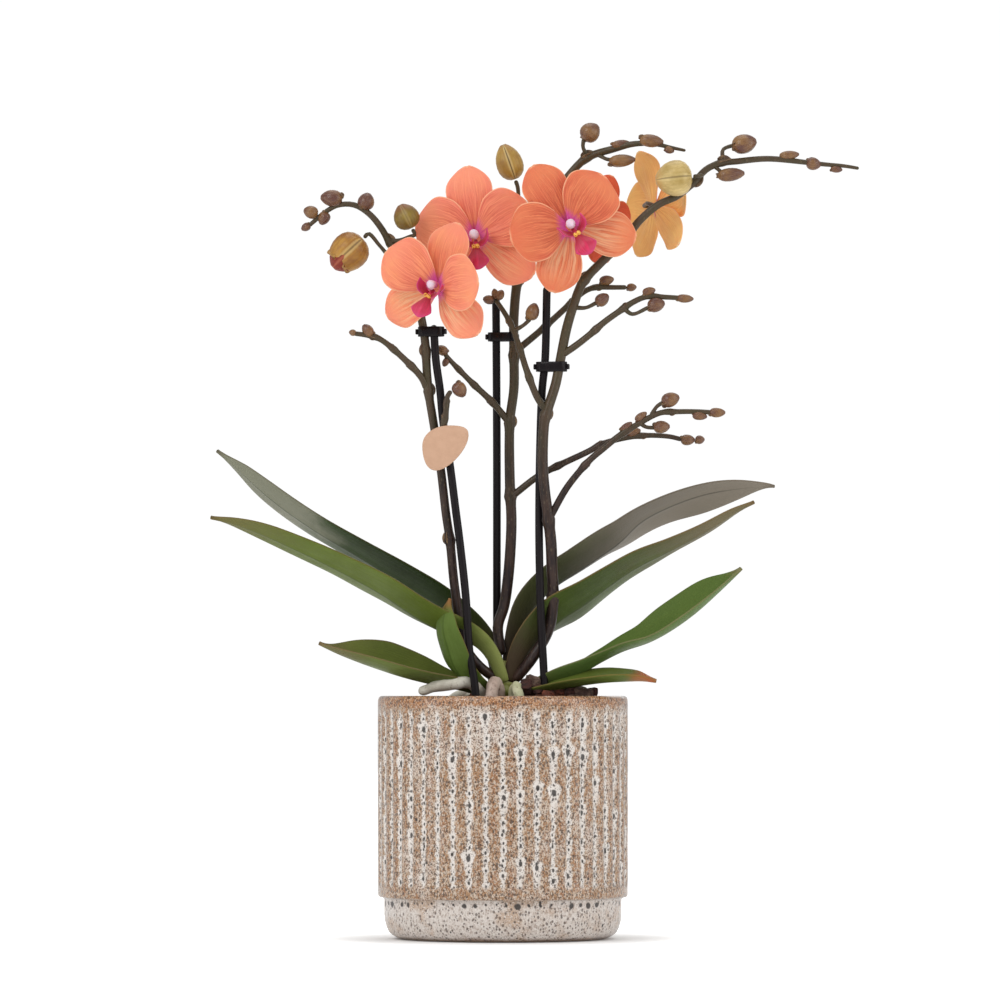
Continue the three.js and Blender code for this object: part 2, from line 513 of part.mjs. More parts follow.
const SPIKES = {
  spike_left: {
    stem: [[-3, -3.5, 124], [-11, -8, 130], [-17.5, -11.5, 138.5], [-20.3, -13, 148.5], [-22.4, -13.5, 163],
      [-23.6, -13.5, 172.3], [-25.3, -13.2, 190.1], [-27.2, -13, 202.9], [-29.8, -12.5, 224.9],
      [-33.4, -12, 247.7], [-35.3, -12, 259.3], [-36.3, -12, 269.7], [-37.7, -12, 289.3],
      [-41.7, -12, 306.7], [-48.7, -11, 321.8], [-54.2, -10, 332.8], [-58.7, -10, 340.6],
      [-64, -9, 346.9], [-71.2, -8, 351.3], [-78.9, -8, 351.3], [-85.1, -7, 348.1], [-93.2, -7, 341.3]],
    radii: [2.4, 2.3, 2.2, 2.1, 2.1, 2.1, 1.9, 1.5, 1.0],
    steps: 20,
    branches: [
      [[-36.3, -12, 262.5], [-38.6, -13.5, 267.7], [-46.2, -16, 276], [-58.9, -19, 286.4],
        [-65.1, -20, 288.1], [-71.2, -21, 288.9]],
      [[-31, -13.5, 232.2], [-29.1, -17.5, 241.8], [-27.3, -19.6, 250.6], [-26.6, -19.8, 258.5],
        [-24.7, -19.6, 261.6]],
    ],
    pedicels: [
      { points: [[-51.7, -10.5, 327.8], [-44.7, -14, 320.4], [-35.7, -17, 314]], to: 'bloom_front_left' },
      {
        points: [[-49.7, -10.5, 323.8], [-54.6, -12.5, 326.6], [-59, -14, 331.4]],
        to: 'bud_opening_sepals',
      },
      { points: [[-54.2, -10, 333.8], [-49.5, -13, 334], [-44.6, -15.5, 335.6]], to: 'bud_left_olive' },
    ],
    buds: [
      { at: [-82.3, -8, 354.5], toward: [-1, 0, 0.1], length: 11, width: 8.4 },
      { at: [-65.5, -9, 353.1], toward: [0.3, 0, 1], length: 8.6, width: 8.2 },
      { at: [-92.2, -7.5, 348], toward: [-1, 0, 0.3], length: 7.4, width: 6.4 },
      { at: [-85.9, -7, 344.9], toward: [-0.5, 0, -1], length: 7, width: 6 },
      { at: [-94.6, -7, 340.7], toward: [-1, 0, -0.6], length: 5, width: 4 },
      { at: [-64.6, -20, 290.5], toward: [-0.8, 0, 1], length: 7, width: 5.4 },
      { at: [-71.8, -21, 289.3], toward: [-1, 0, 0.2], length: 3.6, width: 3.2 },
      { at: [-20.6, -19.4, 262], toward: [0.5, 0, -0.8], length: 8.2, width: 7 },
    ],
    nodes: [[-25.3, -13.2, 190.1], [-36.4, -12, 261], [-37, -12, 280.2], [-54.2, -10, 332.8]],
  },
  spike_centre: {
    stem: [[-0.6, 2, 135.5], [-2.4, 4.5, 149.3], [0.5, 5.5, 158.9], [2.4, 6, 171.8], [3.6, 6, 186.2],
      [4.1, 6, 200.6], [3.4, 6, 217], [3.1, 5, 238], [3.4, 5, 249], [5.3, 4.5, 264], [5.3, 4, 281],
      [5.3, 4, 298], [7, 4, 315.4], [11, 5, 330], [18, 6, 345], [26, 6, 358], [32.2, 5, 367],
      [40.3, 4, 374.9], [53.8, 1, 379.2], [62.9, -2, 381.2], [72, -4, 381.1], [81.1, -4, 379.2],
      [87.8, -4, 377.8]],
    radii: [2.5, 2.6, 2.5, 2.3, 2.3, 2.3, 2.1, 1.8, 0.7],
    steps: 21,
    branches: [
      [[3.6, 5, 246.7], [-4.8, 2.6, 256.8], [-14.9, 0, 266.4], [-25.4, -4, 277], [-28, -5, 280]],
      [[5.3, 4, 281], [18.7, 3, 292.1], [32.2, 2, 304.3], [38.9, 0, 310.1], [44.2, -1, 312.2],
        [50.9, -1, 312.2], [59.5, -1, 312.2]],
      [[3.8, 6, 211.5], [17.3, 4, 221.8], [27.4, 3, 227], [40.3, 1, 233], [49, 0, 237.4],
        [65.5, -1, 240.8], [79.2, -2, 240.5], [86, -2, 239]],
    ],
    pedicels: [
      { points: [[7.5, 4, 317], [1, 4, 327], [-7, 2.5, 335]], to: 'bloom_upper_middle' },
      { points: [[17, 6, 343], [9, 6, 350]], to: 'bud_top_olive' },
      { points: [[22, 6, 351.5], [30, 4, 347]], to: 'bloom_behind' },
      { points: [[41, 4, 375.5], [38.6, 3, 380], [39, 3, 384.4]] },
      { points: [[45, 3.6, 377], [50, 0, 374], [53, -1.5, 373.6]] },
    ],
    buds: [
      { at: [-29.3, -5.4, 281.8], toward: [-1, 0, 0.6], length: 6.2, width: 5 },
      { at: [-27.6, -4.8, 275.8], toward: [-0.5, 0, -1], length: 4.4, width: 3.4 },
      { at: [61.9, -1, 312.2], toward: [1, 0, 0.1], length: 5, width: 4 },
      { at: [49.9, -1, 315.6], toward: [1, 0, 0.2], length: 7.4, width: 5 },
      { at: [88.8, -2, 238.8], toward: [1, 0, 0], length: 7.2, width: 5.3 },
      { at: [94.6, -2, 238.9], toward: [1, 0, 0.1], length: 4.8, width: 4.3 },
      { at: [62.9, -1, 242.6], toward: [1, 0, 0.3], length: 7.2, width: 4.4 },
      { at: [42.2, 3, 387.4], toward: [0.7, 0, 0.6], length: 10.2, width: 9.8 },
      { at: [57.4, -1.8, 373.2], toward: [1, 0, 0.1], length: 13.4, width: 6.2 },
      { at: [56.6, 0, 381.4], toward: [1, 0, 0.2], length: 9, width: 4 },
      { at: [71.5, -4.4, 382.4], toward: [1, 0, -0.1], length: 12, width: 6.4 },
      { at: [80, -4.4, 378], toward: [1, 0, -0.3], length: 5, width: 3.6 },
    ],
    nodes: [[3.6, 5, 246.5], [3.7, 6, 211.5], [7, 4, 315.6], [40.3, 4, 374.9], [5.3, 4, 279.5]],
  },
  spike_right: {
    stem: [[5, -5, 123], [14, -7.5, 134], [22, -6.8, 148.3], [24, -7.2, 162.7], [23.5, -8.5, 176.6],
      [22.9, -11, 190.6], [21.4, -13.8, 202.9], [20, -15, 213.8], [19, -15.2, 228.1], [20, -14.8, 248],
      [21.3, -14, 252.7], [25.2, -11.4, 265], [27.2, -10.2, 275.1], [30.5, -11, 291.7],
      [33.9, -12, 303.1], [38.1, -13, 313.6], [46.6, -14, 322.9], [58.1, -15, 333.7], [65.2, -16, 343],
      [74.4, -17, 350.8], [83.7, -17.4, 355.1], [91.3, -17, 361.5], [97.5, -16, 367.9],
      [104.2, -15, 370.9], [111.4, -14, 371.7], [126.8, -12, 373.2], [145.6, -10, 371.6],
      [154.7, -9, 370.7], [163.8, -8.4, 370], [170.8, -8, 368.9]],
    radii: [2.6, 2.7, 2.7, 2.5, 2.4, 2.3, 2.1, 1.8, 1.6, 1.4, 0.8],
    steps: 27,
    branches: [
      [[21.1, -14.2, 252], [16.7, -13.2, 258.2], [11.4, -11, 271.7], [8.2, -8, 282], [3.8, -5.5, 294.2],
        [-1.4, -3, 303.1], [-3.6, -2, 306]],
      [[28.2, -10.6, 279.1], [34.8, -12, 283.5], [41.5, -13, 288.7], [48.6, -14, 294.8],
        [55.2, -15, 299.5], [61.8, -16, 303.9], [68.5, -16, 306.7], [78.5, -16, 306.5], [87.2, -16, 306]],
      [[22.3, -12.8, 200.9], [29.8, -14, 214.3], [34.7, -15, 220.9], [41.8, -16, 228.9],
        [48, -16.5, 234.1], [55.2, -17, 239.9], [63.2, -17, 245], [75.1, -17, 251.1], [84.2, -17, 251.7],
        [93.4, -17, 251.7], [102, -17, 251.2]],
    ],
    pedicels: [
      { points: [[38.3, -13, 314.2], [34.2, -15, 319.4], [31.7, -17, 329]], to: 'bloom_centre_right' },
      { points: [[58, -15.4, 301], [61.8, -16.6, 298.4], [69.7, -17.6, 301.6]] },
      { points: [[34.2, -12.2, 301.8], [39.7, -13, 301.7], [45.1, -13.6, 304.2]] },
      { points: [[5.2, -6, 291], [9.9, -8, 293.6], [13.3, -9, 296.7]] },
      { points: [[70.7, -17, 249.6], [73.5, -17.4, 254.1], [76.8, -17.6, 256.3]] },
      { points: [[91.5, -17, 361.9], [95, -20, 364.6]], to: 'bud_right_round' },
      { points: [[73.3, -16.6, 349.9], [69.5, -9, 352], [69, -2, 352.4]], to: 'bloom_right_turned' },
      { points: [[105.7, -14.6, 371.4], [105.3, -14.4, 377.2], [111.1, -14, 379.8]] },
      { points: [[101.1, -15.2, 369.5], [104.7, -16.4, 366.2]] },
      { points: [[65.4, -16.8, 246.4], [68.3, -17, 244.4], [72.9, -17, 244]] },
    ],
    buds: [
      { at: [-7, -2, 306.2], toward: [-1, 0, 0.2], length: 5.6, width: 4.6 },
      { at: [-1.4, -3, 308.5], toward: [0.6, 0, 1], length: 5.4, width: 4.4 },
      { at: [-3.8, -2, 309.2], toward: [-0.2, 0, 1], length: 5, width: 3.6 },
      { at: [14.3, -9, 300.1], toward: [0.3, 0, 1], length: 8.8, width: 6.6 },
      { at: [69.9, -16, 309.3], toward: [1, 0, 0.3], length: 6.6, width: 4.4 },
      { at: [73.3, -17.6, 302.8], toward: [1, 0, 0.25], length: 8.8, width: 7 },
      { at: [87.2, -16, 305.9], toward: [1, 0, -0.05], length: 8.4, width: 4.2 },
      { at: [47.6, -13.8, 305.6], toward: [0.8, 0, 0.6], length: 7.6, width: 6.2 },
      { at: [80.1, -17.6, 257.5], toward: [1, 0, 0.35], length: 9.2, width: 7.2 },
      { at: [94.1, -17, 249.6], toward: [1, 0, -0.1], length: 7.4, width: 4.2 },
      { at: [102.5, -17, 251.3], toward: [1, 0, 0], length: 8, width: 4.8 },
      { at: [75.9, -17, 244.4], toward: [1, 0, 0.1], length: 8.2, width: 6.2 },
      { at: [66, -17, 249.4], toward: [0.8, 0, 0.6], length: 7, width: 3.8 },
      { at: [59, -17, 244.6], toward: [0.8, 0, 0.6], length: 7, width: 3.6 },
      { at: [115.7, -14, 380.2], toward: [1, 0, 0.25], length: 12.4, width: 9.6 },
      { at: [109.2, -16.6, 365.3], toward: [1, 0, 0.1], length: 13.6, width: 6.6 },
      { at: [137.3, -11, 375], toward: [1, 0, 0.1], length: 10, width: 4.4 },
      { at: [149, -9.8, 371], toward: [1, 0, -0.2], length: 7.4, width: 6.4 },
      { at: [160, -8.8, 368.4], toward: [1, 0, -0.1], length: 6, width: 3.4 },
    ],
    nodes: [[24, -7.4, 162.8], [22, -13, 199.9], [20.7, -14.4, 250.6], [38.5, -13.2, 314.6],
      [91.5, -17, 361.9], [104.7, -15, 371]],
  },
};

const stemSolid = ({ stem, radii, steps, nodes }, grow = 0) => stalk(
  stem, radii, 6, steps, { nodes, grow });

function spikeSolid(name) {
  const { branches, pedicels, buds } = SPIKES[name];
  const taper = [1.15, 1, 0.75].map((share) => share * BRANCH_RADIUS);
  const solids = [stemSolid(SPIKES[name])];
  branches.forEach((points) => {
    solids.push(stalk(points, taper, 6, Math.max(3, Math.round(points.length * 0.6))));
  });
  pedicels.forEach(({ points, to }) => {
    const whole = to ? [...points, ...seatBehind(to)] : points;
    solids.push(stalk(whole, [PEDICEL_RADIUS * 1.3, PEDICEL_RADIUS], 4, whole.length - 1));
  });
  buds.forEach(({ at, toward, length, width }) => {
    solids.push(bud(at, toward, length, width, width < SMALL_BUD ? 4 : 6));
  });
  return joined(solids);
}

// Large buds, each on the end of its pedicel

const LARGE_BUDS = {
  bud_left_olive: { at: [-46.4, -17, 345.2], toward: [-0.5, 0, 1], length: 13, width: 12.4 },
  bud_top_olive: { at: [2.9, 5, 373.2], toward: [-0.35, 0, 1], length: 18.4, width: 13 },
  bud_right_round: { at: [81.4, -22.6, 362.9], toward: [-1, 0, -0.1], length: 18.2, width: 17.4 },
  bud_opening_sepals: { at: [-74.4, -15, 327.6], toward: [-0.75, 0, -0.7], length: 21, width: 18.4 },
};

// The opening bud's petal shows below its parted sepals.
const OPENING_PETAL = { at: [-78.7, -16, 323], toward: [-0.75, 0, -0.7], length: 17, width: 14.5 };
const SEPAL_CLEARANCE = 0.4;

const largeBudSolid = ({ at, toward, length, width }, grow = 0) => bud(
  at, toward, length + 2 * grow, width + 2 * grow, 8);

// Blooms

// Facing is the way the bloom looks, roll turns it about that way, in degrees, and size scales it.
// cup tips both petals forward and turns swings single tepals round the hub, also in degrees.
const BLOOMS = {
  bloom_front_left: {
    at: [-31, -30, 310.4], facing: [-0.45, -0.89, -0.03], roll: -18, size: 0.97, cup: 22,
    turns: [0, 0, 14, 0, 0],
  },
  bloom_upper_middle: { at: [-12.9, -8.5, 336], facing: [-0.1, -1, -0.05], roll: 8, size: 1.04 },
  bloom_centre_right: { at: [31.7, -28.5, 339.7], facing: [0.12, -1, -0.05], roll: 33, size: 1.02 },
  bloom_behind: { at: [43, -8, 343.6], facing: [0.45, -0.85, -0.25], roll: -20, size: 0.72 },
  bloom_right_turned: {
    at: [73.4, 8, 352], facing: [0.82, 0.56, 0.04], roll: -20, size: 0.87, turns: [0, 22, 8, 20, 0],
  },
};

// The last two points of a pedicel: straight behind a bloom's hub or a bud's base, one gap short.
function seatBehind(name) {
  const bloom = BLOOMS[name];
  const { at, toward, length } = bloom ?? LARGE_BUDS[name];
  const ahead = vector(bloom ? bloom.facing : toward).normalize();
  const depth = (bloom ? HUB_BACK * bloom.size : length / 2) + GAP;
  return [depth + SEAT_RUN, depth].map((back) => vector(at).addScaledVector(ahead, -back).toArray());
}

// Tepals in the bloom's own plane: x to the viewer's right, y up and z towards the viewer.
const SEPAL = {
  length: 32, widths: [2.5, 6, 9.5, 10.8, 9, 3], level: -1, lift: [0, 1, 1.2, 0], curl: 5,
};
const WING = {
  length: 28.5, widths: [2.2, 8.5, 13, 14, 11, 3.6], level: 1.2, lift: [0, 1.6, 1.8, -0.6], curl: 6,
  cups: true,
};
const TEPALS = [
  { angle: 90, ...SEPAL, length: 33, lift: [0, 1.2, 1.4, -1.4] },
  { angle: 223, ...SEPAL },
  { angle: -43, ...SEPAL },
  { angle: 157, ...WING },
  { angle: 23, ...WING },
];
const TEPAL_START = 1.2; // how far from the middle a tepal leaves the hub

function tepal({ angle, length, widths, level, lift, curl, cups = false }, cup, swing) {
  const turn = THREE.MathUtils.degToRad(angle + swing);
  const slope = cups ? Math.tan(THREE.MathUtils.degToRad(cup)) : 0;
  const points = lift.map((rise, i) => {
    const reach = TEPAL_START + (length - TEPAL_START) * (i / (lift.length - 1));
    const height = level + rise + slope * (reach - TEPAL_START);
    return [Math.cos(turn) * reach, Math.sin(turn) * reach, height];
  });
  const side = [-Math.sin(turn), Math.cos(turn), 0];
  const folds = [4, curl, curl * 0.5, -curl * 0.4];
  const section = { mid: PETAL_MID, edge: PETAL_EDGE, across: 4, steps: 4 };
  return blade({ points, side, hand: 1, widths, folds, rolls: [0], wave: 0.25, ...section });
}

function petalsSolid({ cup = 0, turns = [0, 0, 0, 0, 0] }) {
  const hub = stalk([[0, 0, -HUB_BACK], [0, 0, HUB_FRONT]], [1.8, 3], 6, 1);
  return joined([hub, ...TEPALS.map((shape, i) => tepal(shape, cup, turns[i]))]);
}

// Lip: a claw below the column, two raised side lobes, a callus and a forward middle lobe.
function lipSolid() {
  const section = { mid: PETAL_MID, edge: PETAL_EDGE, across: 3, rolls: [0] };
  const start = HUB_FRONT + GAP;
  const claw = stalk([[0, -2, start], [0, -2.1, start + 1], [0, -4.6, 7]], [0.9, 1.1, 1.5], 4, 2);
  const sides = [-1, 1].map((hand) => blade({
    ...section,
    points: [[hand * 0.6, -4, 6.4], [hand * 4, -2.6, 7.6], [hand * 6, 0.6, 8.2], [hand * 6.4, 3, 8.4]],
    side: [0, -0.6, 0.8],
    hand: 1,
    widths: [1.4, 2.8, 3.4, 1.2],
    folds: [8],
    steps: 2,
  }));
  const middle = blade({
    ...section,
    points: [[0, -3.8, 6.2], [0, -7, 9.6], [0, -11.5, 12.4], [0, -15.5, 12]],
    side: [1, 0, 0],
    hand: -1,
    widths: [1.4, 2.2, 4.6, 5.2, 1.2],
    folds: [30, 24, 16, 8],
    steps: 4,
  });
  const callus = bud([0, -4.4, 8.2], [0, 0.4, 1], 3.4, 2.8, 4);
  return mainBody(joined([claw, ...sides, middle, callus]));
}

const columnSolid = () => stalk(
  [[0, 1.1, HUB_FRONT + GAP], [0, 1.2, 5], [0, 1, 8], [0, 0, 9.8]],
  [1.9, 1.7, 1.9, 2.2, 1.1], 6, 4);

// A solid moved from the bloom's own frame to its place.
function placed(solid, { at, facing, roll, size }) {
  const z = vector(facing).normalize();
  const x = new THREE.Vector3(0, 0, 1).cross(z).normalize();
  x.applyAxisAngle(z, THREE.MathUtils.degToRad(roll));
  const y = z.clone().cross(x);
  const matrix = new THREE.Matrix4().makeBasis(x, y, z).scale(new THREE.Vector3(size, size, size));
  return solid.transform(matrix.setPosition(vector(at)).elements);
}

// Clips and tag

// A clip is a small plate with round ends that grips a stick and a stem side by side.
const CLIPS = {
  clip_centre: { from: [-4, 5.5, 288.7], to: [3.4, 4.2, 288.7], radius: 3.3, height: 4.4 },
  clip_right: { from: [19.2, -8.2, 273.6], to: [27.4, -9.8, 273.6], radius: 3.4, height: 4.8 },
  clip_left: { from: [-37.3, -12.2, 290.2], to: [-31.4, -13.8, 290.2], radius: 3.4, height: 4.8 },
};

function clipSolid({ from, to, radius, height }, holes) {
  const span = Math.hypot(to[0] - from[0], to[1] - from[1]);
  const outline = new THREE.Shape();
  outline.absarc(span, 0, radius, -Math.PI / 2, Math.PI / 2, false);
  outline.absarc(0, 0, radius, Math.PI / 2, Math.PI * 1.5, false);
  const plate = new THREE.ExtrudeGeometry(outline, { depth: height, bevelEnabled: false, curveSegments: 4 });
  plate.rotateZ(Math.atan2(to[1] - from[1], to[0] - from[0]));
  plate.translate(from[0], from[1], from[2] - height / 2);
  return mainBody(solidOf(plate).subtract(joined(holes)));
}

// The tag is a thin egg-shaped plate that leans on the short branch behind it.
const TAG_BACK = [-27.5, -19.85, 234.2];

function tagSolid() {
  const outline = new THREE.Shape();
  outline.moveTo(11, 7.5);
  outline.bezierCurveTo(12.5, 1, 2, -10.8, -4.5, -10.8);
  outline.bezierCurveTo(-9.5, -10.8, -11, -4, -11, 1);
  outline.bezierCurveTo(-11, 7, -5, 10.8, 2, 10.8);
  outline.bezierCurveTo(6.5, 10.8, 10.3, 10.4, 11, 7.5);
  const settings = { depth: TAG_THICKNESS, bevelEnabled: false, curveSegments: 5 };
  const plate = new THREE.ExtrudeGeometry(outline, settings);
  plate.rotateX(Math.PI / 2);
  plate.translate(...TAG_BACK);
  return solidOf(plate);
}

// Assembly

addPiece('cover_pot', solidOf(potGeometry()), GLAZE, 0.25);
addPiece('grow_pot', solidOf(growPotGeometry()), CLEAR_PLASTIC, 0.3);
addPiece('bark', barkSolid(), BARK, 0.95);
addPiece('crown', crownSolid(), CROWN, 0.5);
addPiece('roots', mainBody(rootSolid().subtract(crownSolid(GAP))), ROOT, 0.8);
Object.keys(STICKS).forEach((name) => addPiece(name, stickSolid(name), STICK, 0.45));

const stickCuts = Object.keys(STICKS).map((name) => stickSolid(name, GAP));
const spikes = Object.keys(SPIKES).map((name) => {
  const cut = joined([crownSolid(GAP), ...stickCuts]);
  return { name, solid: mainBody(spikeSolid(name).subtract(cut)) };
});
spikes.forEach(({ name, solid }) => addPiece(name, solid, STEM, 0.55));

const stemCuts = Object.values(SPIKES).map((spike) => stemSolid(spike, GAP));
const leafCuts = [crownSolid(GAP), rootSolid(GAP), ...stickCuts, ...stemCuts];
Object.keys(LEAVES).forEach((name) => {
  addPiece(name, mainBody(leafSolid(name).subtract(joined(leafCuts))), LEAVES[name].color, 0.45);
  leafCuts.push(leafSolid(name, GAP));
});

const spikeCut = joined(spikes.map(({ solid }) => solid));
Object.entries(LARGE_BUDS).forEach(([name, shape]) => {
  addPiece(name, mainBody(largeBudSolid(shape).subtract(spikeCut)), BUD, 0.5);
});
const sepalCut = largeBudSolid(LARGE_BUDS.bud_opening_sepals, SEPAL_CLEARANCE);
const openingPetal = mainBody(largeBudSolid(OPENING_PETAL).subtract(sepalCut));
addPiece('bud_opening_petal', openingPetal, BUD_PETAL, 0.5);

Object.entries(BLOOMS).forEach(([name, place]) => {
  addPiece(`${name}_petals`, mainBody(placed(petalsSolid(place), place)), PETAL, 0.6);
  addPiece(`${name}_lip`, placed(lipSolid(), place), LIP, 0.5);
  addPiece(`${name}_column`, placed(columnSolid(), place), COLUMN, 0.5);
});

Object.entries(CLIPS).forEach(([name, shape]) => {
  addPiece(name, clipSolid(shape, [...stickCuts, ...stemCuts]), STICK, 0.4);
});
addPiece('tag', tagSolid(), TAG, 0.7);

export default model;
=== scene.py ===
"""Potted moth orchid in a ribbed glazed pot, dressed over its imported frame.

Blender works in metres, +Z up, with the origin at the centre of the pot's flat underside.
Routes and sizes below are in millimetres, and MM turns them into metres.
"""
import math
import random
from bisect import bisect_left
from contextlib import contextmanager

import bpy
from mathutils import Matrix, Vector, noise


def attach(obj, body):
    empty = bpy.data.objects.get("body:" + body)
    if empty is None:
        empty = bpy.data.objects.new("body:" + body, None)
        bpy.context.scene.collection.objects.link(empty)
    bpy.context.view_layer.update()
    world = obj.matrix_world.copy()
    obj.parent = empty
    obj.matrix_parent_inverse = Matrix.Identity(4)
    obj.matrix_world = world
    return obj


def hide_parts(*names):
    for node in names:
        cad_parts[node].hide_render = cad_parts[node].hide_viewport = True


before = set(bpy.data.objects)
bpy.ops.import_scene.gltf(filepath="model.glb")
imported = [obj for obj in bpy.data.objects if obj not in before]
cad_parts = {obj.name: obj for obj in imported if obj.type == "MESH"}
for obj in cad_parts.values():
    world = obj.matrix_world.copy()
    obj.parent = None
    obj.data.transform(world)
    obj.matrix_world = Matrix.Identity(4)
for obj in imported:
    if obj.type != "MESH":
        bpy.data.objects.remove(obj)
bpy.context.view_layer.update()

bl_info = {
    "name": "Potted moth orchid",
    "version": (1, 0, 0),
    "blender": (4, 5, 0),
    "location": "View3D > Sidebar > Orchid",
    "description": "Builds a moth orchid in a glazed pot, piece by piece",
    "category": "Object",
}

# Sizes in millimetres

MM = 0.001
POT_RADIUS = 60
POT_HEIGHT = 116
POT_INSIDE = 55
POT_FLOOR = 5
FOOT_RADIUS = 50
LOWER_RADIUS = 57
STEP_HEIGHT = 20
FLUTE_COUNT = 46
FLUTE_BOTTOM = 24.5
FLUTE_TOP = 107
FLUTE_WIDTH = 8.2
SPOT_PITCH = 1.45  # spots under the step, for each flute
GROW_POT_RADIUS = 46
GROW_POT_FOOT = 38
GROW_POT_WALL = 0.9
GROW_POT_BOTTOM = 5.3
GROW_POT_TOP = 108
BARK_TOP = 109
ROOT_BASE_TOP = 111
CROWN_FOOT = 111.3
STICK_RADIUS = 1.9
BRANCH_RADIUS = 1.5
PEDICEL_RADIUS = 0.9
NODE_SWELL = 0.28
NODE_REACH = 2.0
SEAT_GAP = 0.3
SEAT_RUN = 3
LEAF_MID = 2.0
LEAF_EDGE = 0.8
PETAL_MID = 0.9
PETAL_EDGE = 0.5
HUB_BACK = 3.4
HUB_FRONT = 2.4
TAG_THICKNESS = 1
TAG_BACK = (-27.5, -19.85, 234.2)

# Routes and places in millimetres, from the crown, stem or stick outwards

ROOTS = (
    {
        "points": ((-2, -1, 104), (-7, -7, 109), (-11, -12.5, 118), (-16.4, -16.5, 122.2),
            (-23.6, -19, 122), (-33.2, -21, 120.2), (-40.2, -20.5, 117.6)),
        "radii": (2, 2.4, 2.7, 3, 3.1, 3, 2),
    },
    {
        "points": ((0, -2, 104), (-1, -9.5, 111), (-2, -11.5, 118.6), (-3.6, -14, 122.6),
            (-5, -17.5, 119.4), (-5.6, -21.5, 112), (-4.6, -25, 102)),
        "radii": (2.2, 2.6, 3, 3.2, 3.1, 2.7, 2),
    },
    {
        "points": ((1, -2, 104), (4.6, -9.5, 111), (5.2, -12.5, 118), (6.2, -15.5, 120.6),
            (7.4, -18.6, 117.6), (8.4, -21.6, 111), (9.2, -24, 102)),
        "radii": (2, 2.4, 2.5, 2.6, 2.5, 2.2, 1.8),
    },
    {
        "points": ((3, -1, 104), (11, -4, 110), (21, -7, 115), (31.7, -13, 118.4), (39, -16.5, 118),
            (41, -17.5, 114.6)),
        "radii": (2, 2.2, 2.4, 2.5, 2.6, 1.8),
    },
    {
        "points": ((-1, 2, 104), (-6, 10, 111), (-13, 21, 116), (-21, 28, 116.5), (-27, 29, 112),
            (-29, 28, 104)),
        "radii": (2, 2.3, 2.4, 2.3, 1.8),
    },
    {
        "points": ((1, 2, 104), (8, 9, 111), (16, 17, 116), (25, 24, 116.5), (31, 25, 112), (33, 24, 104)),
        "radii": (2, 2.2, 2.4, 2.2, 1.8),
    },
)

STICKS = {
    "stick_centre": ((-3.4, 4.5, 311), (-3.2, 5.5, 289), (-2.9, 9, 232), (-2.9, 12.5, 165), (-2.9, 15, 120),
        (-2.9, 17, 40)),
    "stick_right": ((21.1, -7, 312.4), (20.2, -8, 276.5), (18.7, -8.4, 261.5), (17.3, -10, 199.8),
        (18.2, -11.4, 153), (19.7, -12.5, 121.9), (20, -13, 40)),
    "stick_left": ((-33.1, -14, 293.4), (-32.1, -14, 276.8), (-30.1, -14, 262.6), (-28.7, -14.5, 247.8),
        (-25.6, -15.3, 228.4), (-22.4, -16.5, 203.5), (-20.6, -17.5, 189.6), (-17.7, -19, 163),
        (-15.9, -20.3, 136.8), (-13.2, -21, 119), (-10.5, -21, 45)),
}

